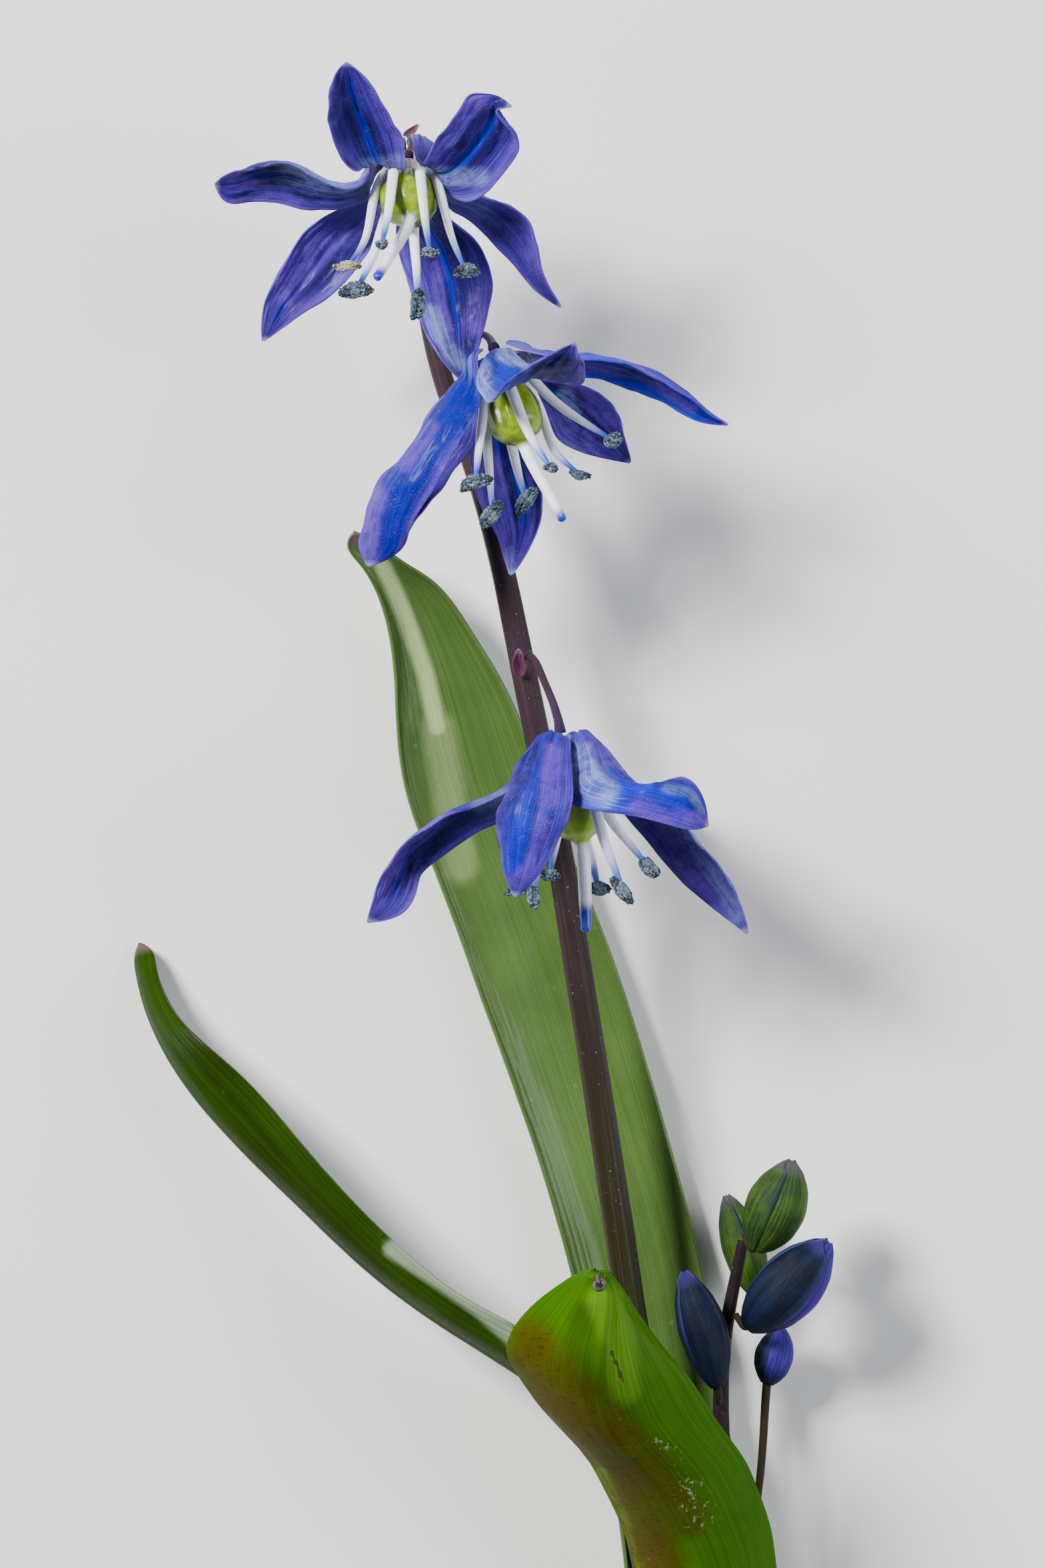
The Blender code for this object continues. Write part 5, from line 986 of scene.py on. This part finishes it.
# ------------------------------------------------------------------ stamens
def anther_mesh(name, spec, seed, mats, yellow=0.0, curl=0.0):
    """Two fat lobes side by side with a slit between them, covered in grains."""
    a, b = spec["size"]
    b = b * 0.88
    n_long, n_round = ((60, 66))
    d = unit(spec["dir"])
    centre = at(*spec["anther"])
    v, f = egg(centre, d, a, b, b * 0.85, (0, 0, 1), n_long, n_round)
    e = np.array([0, 0, 1.0])
    e = unit(e - np.dot(e, d) * d)
    g = np.cross(d, e)
    rel = v - centre
    x, y, z = rel @ d, rel @ g, rel @ e
    ang = np.arctan2(z, y)
    # slit along the face, and a waist on the back
    dent = 0.42 * np.exp(-((ang - np.pi / 2) / 0.24) ** 2) + 0.20 * np.exp(-((ang + np.pi / 2) / 0.3) ** 2)
    k = 1 - dent * np.clip(1 - (np.abs(x) / a) ** 4, 0, 1)
    rng = np.random.default_rng(seed)
    # the grains
    size = 0.060
    count = int(7.0 * a * b / size**2)
    pick = rng.normal(size=(count, 3)) * (1 / a, 1 / b, 1 / b)
    pick = pick / np.linalg.norm(pick, axis=1, keepdims=True)
    grow = rng.uniform(0.6, 1.35, count)
    here = np.stack([x, y, z], 1)
    seat = pick * (a, b, b * 0.85)
    grain, rank = np.zeros(len(v)), np.zeros(len(v))
    for q, w in zip(seat, grow):
        dist = np.linalg.norm(here - q, axis=1) / (size * w)
        g_ = w * np.sqrt(np.clip(1 - dist * dist, 0, 1))
        rank = np.where(g_ > grain, (w * 37.7) % 1.0, rank)
        grain = np.maximum(grain, g_)
    q = here / (a, b, b)
    lump = sum(np.sin(q @ rng.normal(size=3) * w + rng.uniform(0, 6)) for w in (3, 4.5, 6, 8)) / 4
    bend = 0.22 * a * np.sin(x / a * 2.2 + seed) + curl * (x / a) ** 2
    v = centre + np.outer(x, d) + np.outer(y * k * (1 + 0.22 * lump) + bend * 0.5, g) + np.outer(z * k * (1 + 0.12 * lump), e)
    v = v + rows_unit(rel + 1e-9) * (0.095 * grain - 0.02)[:, None]
    me = bpy.data.meshes.new(name)
    me.from_pydata([tuple(p) for p in v * 0.001], [], f)
    for field, value in (("seed", np.full(len(v), yellow)), ("grain", np.clip(grain, 0, 1)), ("rank", rank)):
        sd = me.attributes.new(field, "FLOAT", "POINT")
        sd.data.foreach_set("value", value.astype(np.float32))
    return finish_mesh(me, name, mats)


for key in FLOWERS:
    for i in range(6):
        p, out, spec = stamen_points(key, i)
        n, na = ((60, 20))
        fat = {"top": 1.0, "middle": 1.05, "lower": 1.22}[key]
        v, f = tube(p, [(0, 0.28), (0.2, 0.34 * fat), (0.5, 0.31 * fat), (0.75, 0.24 * fat), (0.92, 0.15 * fat), (1, 0.08)], n, na, flat=0.85, flat_dir=out)
        ob = tube_mesh(f"filament_{key}_{i + 1}", v, f, n + 1, na, [LOOKS["filament"]], None, seed=i * 1.3)
        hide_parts(f"stamen_{key}_{i + 1}")
        ob = anther_mesh(f"anther_{key}_{i + 1}", spec, 11 * i + len(key), [LOOKS["anther"]], YELLOW.get((key, i + 1), 0.0), CURL.get((key, i + 1), 0.0))

# ------------------------------------------------------------------ pistils
for key in FLOWERS:
    p, r, k = pistil_parts(key)
    n1, n2, na = ((70, 60, 72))
    t = np.concatenate([np.linspace(0, k, n1)[:-1], np.linspace(k, 1, n2)])
    a = np.linspace(0, 2 * np.pi, na, endpoint=False)
    v, f = tube(p, r, 0, na, t=t)
    c, tan, length = path(p, t)
    ring = v[: len(t) * na].reshape(len(t), na, 3)
    body = np.clip(np.sin(np.clip(t / k, 0, 1) * np.pi), 0, 1)[:, None] ** 0.8
    groove = 1 - body * (0.13 * np.exp(-((np.mod(a * 3 / (2 * np.pi), 1) - 0.5) / 0.10) ** 2) + 0.05 * np.exp(-((np.mod(a * 6 / (2 * np.pi), 1) - 0.5) / 0.12) ** 2))[None]
    fat = {"top": 1.12, "middle": 1.12, "lower": 1.35}[key]
    wide = 1 + (fat - 1) * np.clip((t - k) / 0.06, 0, 1)[:, None]
    tip = wide + 0.5 * np.exp(-((t - 0.985) / 0.012) ** 2)[:, None] * (0.6 + 0.4 * np.cos(3 * a))[None]
    ring = c[:, None] + (ring - c[:, None]) * (groove * tip)[..., None]
    v[: len(t) * na] = ring.reshape(-1, 3)
    mm = t * length
    # seed 1 paints the lower ovary a brighter green: painted light against the shade of its tepals
    ob = tube_mesh(f"ovary_and_style_{key}", v, f, len(t), na, [LOOKS["pistil"]], mm, seed=1.0 if key == "lower" else 0.0)
    sh = ob.data.attributes.new("share", "FLOAT", "POINT")
    sh.data.foreach_set("value", np.concatenate([np.repeat(t, na), [0, 1]]).astype(np.float32))
    sh = ob.data.attributes.new("past", "FLOAT", "POINT")
    sh.data.foreach_set("value", np.concatenate([np.repeat(mm, na), [0, length]]).astype(np.float32) - np.float32(k * length - 0.25))
    sh = ob.data.attributes.new("tipped", "FLOAT", "POINT")
    sh.data.foreach_set("value", np.full(len(v), {"top": 0.89, "middle": 0.90, "lower": 0.81}[key], np.float32))
    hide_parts("pistil_" + key)

# ------------------------------------------------------------------ stems
def stem(name, points, radius, n, na, look, node, rib=0.02, seed=1, cut=False):
    v, f = tube(points, radius, n, na)
    t = np.linspace(0, 1, n + 1)
    c, tan, length = path(points, t)
    ring = v[: (n + 1) * na].reshape(n + 1, na, 3)
    a = np.linspace(0, 2 * np.pi, na, endpoint=False)
    lumps = soft_noise((n + 1, na), seed, 10, (3.0, 0.5))
    lumps = lumps + (lumps[:, ::-1] - lumps) * 0.5
    k = 1 + rib * (np.cos(5 * a + 0.7)[None] * 0.8 + np.cos(11 * a + 1.9)[None] * 0.5 + np.cos(17 * a + 0.3)[None] * 0.3) + 0.02 * lumps
    ring = c[:, None] + (ring - c[:, None]) * k[..., None]
    v[: (n + 1) * na] = ring.reshape(-1, 3)
    ob = tube_mesh(name, v, f, n + 1, na, [look], t * length, seed=seed)
    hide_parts(node)
    return ob


stem("flower_stem", pts(SCAPE), [(0, 0.98), (0.3, 0.9), (0.6, SCAPE_R), (0.85, 0.62), (0.97, 0.36), (1, 0.3)], 420, 40, LOOKS["stem"], "scape", seed=3)
for n, key in enumerate(PEDICELS):
    c, axis = flower_frame(key)[:2]
    line = pts(PEDICELS[key])
    stem("stalk_" + key, line, [(0, 0.30), (0.12, 0.24), (0.5, 0.23), (0.85, 0.27), (1, 0.36)], 60, 20, LOOKS["pedicel"], "pedicel_" + key, seed=20 + n)

for key in BRACTS:
    top, bottom, nn, tt, ss, length = rails(BRACTS[key]["rows"], BRACTS[key]["facing"], 30, 14, 0.12, ruffle=(0.03, 1.5, 1.0))
    ob = solid_mesh("bract_piece_" + key, top, bottom, tt, ss, [LOOKS["bract"]], seed=len(key))
    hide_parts("bract_" + key)

# ------------------------------------------------------------------ leaves
for number, name in enumerate(LEAVES):
    nt, ns = ((240, 64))
    top, bottom, nn, tt, ss, length = leaf_blade(name, nt, ns, thick=0.52, ruffle=(0.10, 2.6, number * 2.0))
    width = np.linalg.norm(top[:, -1] - top[:, 0], axis=-1)[:, None]
    full = np.clip(width / 5.0, 0, 1)
    rng = np.random.default_rng(5 + number)
    relief = np.zeros_like(ss)
    for at_ in np.linspace(-0.92, 0.92, 23):
        relief = relief - (0.012 if name == "leaf_front" else 0.026) * hairline(ss, at_ + rng.normal() * 0.01, 0.020)
    relief = relief + 0.07 * soft_noise(tt.shape, 90 + number, 3, (4.0, 1.2)) - 0.06 * hairline(ss, 0, 0.05)
    if name == "leaf_front":
        relief = relief + 0.20 * hairline(ss, 0.16 + 0.05 * (1 - tt), 0.05) * np.clip(tt * 3 - 0.9, 0, 1) - 0.16 * hairline(ss, -0.14, 0.06) * np.clip(tt * 3 - 1.2, 0, 1)
    relief = relief * full
    top = top + nn * relief[..., None]
    back = -relief * 0.7 + 0.16 * hairline(ss, 0, 0.09) * full
    bottom = bottom - nn * np.maximum(back, -0.05)[..., None]
    bottom[..., 2] = np.maximum(bottom[..., 2], 0.02)
    top[..., 2] = np.maximum(top[..., 2], 0.06)
    ob = solid_mesh("blade_" + name, top, bottom, tt, ss, [LOOKS[name]], seed=number * 3.1, extra=strokes((top + bottom) / 2, TONES.get(name, [])))
    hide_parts(name)

# hooked tip of the front leaf
n1, n2 = ((40, 48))
v, f = egg(at(899, 1926, 22.45), unit((0.3, 0.8, 0.5)), 0.44, 0.37, 0.36, (0, 0, 1), n1, n2)
me = bpy.data.meshes.new("leaf_hook")
me.from_pydata([tuple(q) for q in v * 0.001], [], f)
ob = finish_mesh(me, "leaf_hook", [hook_look()])

# ------------------------------------------------------------------ young stem in bud
stem("young_stem", pts(YOUNG), [(0, 0.62), (0.5, 0.55), (1, 0.34)], 140, 28, LOOKS["stem_young"], "scape_young", seed=7)
VIOLET = {("3", 0), ("5", 2)}
for n, key in enumerate(BUDS):
    spec = BUDS[key]
    p, r, stalk = bud_points(key)
    nt, na = ((60, 40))
    # three outer tepals that lap over each other, round a closed core
    t = np.linspace(0, 1, nt + 1)
    c, tan, length = path(p, t)
    ref = np.broadcast_to(np.array([0, 0, 1.0]), tan.shape)
    e = rows_unit(ref - np.sum(ref * tan, 1, keepdims=True) * tan)
    g = np.cross(tan, e)
    rad = profile(r, t)
    v, f = tube(p, [(x, y * 0.93) for x, y in r], nt, na)
    look = LOOKS[spec["colour"]]
    core = tube_mesh("bud_core_" + key, v, f, nt + 1, na, [look], None, seed=n)
    uv = core.data.uv_layers.new(name="Grain")
    loops = np.empty(len(core.data.loops), dtype=np.int32)
    core.data.loops.foreach_get("vertex_index", loops)
    tv = np.concatenate([np.repeat(t, na), [0, 1]])
    av = np.concatenate([np.tile(np.abs(np.linspace(-1, 1, na, endpoint=False)), nt + 1), [0, 0]])
    uv.data.foreach_set("uv", np.stack([tv[loops], av[loops]], 1).astype(np.float32).ravel())
    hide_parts("bud_" + key)
    for m in range(3):
        s = np.linspace(-1, 1, na // 2 + 1)
        mid = math.radians(35 + 120 * m + 25 * n)
        half = math.radians(78) * np.clip(np.minimum(1, (1 - t) / 0.10), 0.25, 1)
        ang = mid + half[:, None] * s[None]
        lift = rad[:, None] * (1.0 + 0.055 * (s[None] + 1)) + 0.10 * np.cos(s * np.pi)[None] * np.sin(t * np.pi)[:, None] - 0.10 * np.exp(-(s / 0.10) ** 2)[None] * np.sin(t * np.pi)[:, None]
        top_ = c[:, None] + lift[..., None] * (np.cos(ang)[..., None] * e[:, None] + np.sin(ang)[..., None] * g[:, None])
        nn = rows_unit(top_ - c[:, None])
        outer = top_ + nn * 0.05 + tan[:, None] * (0.12 * (1 - np.abs(s))[None] * (t**8)[:, None])[..., None]
        tt, ss = np.meshgrid(t, s, indexing="ij")
        tone = np.full(tt.shape, 0.9 if (key, m) in VIOLET else 0.0) * np.clip(tt * 2.5, 0, 1)
        ob = solid_mesh(f"bud_tepal_{key}_{m + 1}", outer, top_ - nn * 0.05, tt, ss, [look], seed=n + m * 0.3, extra={"violet": tone})
    v, f = tube(stalk, [(0, 0.2), (1, 0.27)], 24, 16)
    ob = tube_mesh("bud_foot_" + key, v, f, 25, 16, [LOOKS["stem_young"]], np.linspace(0, 1.5, 25), seed=n)

# ------------------------------------------------------------------ stage
def stage_look():
    k = Look("paper_floor")
    p = k.place()
    n = k.noise(p, 60.0, 4, 0.6)
    colour = k.mix(n, (0.80, 0.795, 0.785), (0.85, 0.845, 0.835))
    return k.done(colour, 0.75, k.bump(k.noise(p, 900.0, 4), 0.2, 0.05), spec=0.3)


me = bpy.data.meshes.new("paper_floor")
w = 3.0
me.from_pydata([(-w, -w, 0), (w, -w, 0), (w, w, 0), (-w, w, 0)], [], [(0, 1, 2, 3)])
floor = bpy.data.objects.new("paper_floor", me)
bpy.context.scene.collection.objects.link(floor)
me.materials.append(stage_look())


def area(name, where, look_at, size, power, colour=(1, 1, 1)):
    l = bpy.data.lights.new(name, "AREA")
    l.shape = "DISK"
    l.size = size
    l.energy = power
    l.color = colour
    o = bpy.data.objects.new(name, l)
    bpy.context.scene.collection.objects.link(o)
    o.location = where
    d = Vector(look_at) - Vector(where)
    o.rotation_euler = d.to_track_quat("-Z", "Y").to_euler()
    return o


area("key", (-0.34, 0.24, 0.40), (0, 0, 0.01), 0.18, 8.2, (1.0, 0.985, 0.96))
area("fill", (0.46, 0.05, 0.34), (0, 0, 0.01), 0.35, 3.0, (0.95, 0.97, 1.0))
world = bpy.data.worlds.new("soft")
world.use_nodes = True
world.node_tree.nodes["Background"].inputs[0].default_value = (0.84, 0.88, 1.0, 1)
world.node_tree.nodes["Background"].inputs[1].default_value = 0.16
bpy.context.scene.world = world

cam = bpy.data.cameras.new("view")
cam.sensor_width = 36.0
cam.lens = 18.0 * EYE / ((MIDDLE[1]) / UNIT)
cam.clip_start = 0.01
cam.clip_end = 20.0
eye = bpy.data.objects.new("view", cam)
bpy.context.scene.collection.objects.link(eye)
eye.location = (-SHIFT[0] * 0.001, -SHIFT[1] * 0.001, (EYE + LEVEL - SHIFT[2]) * 0.001)
eye.rotation_euler = (0, 0, 0)
bpy.context.scene.camera = eye
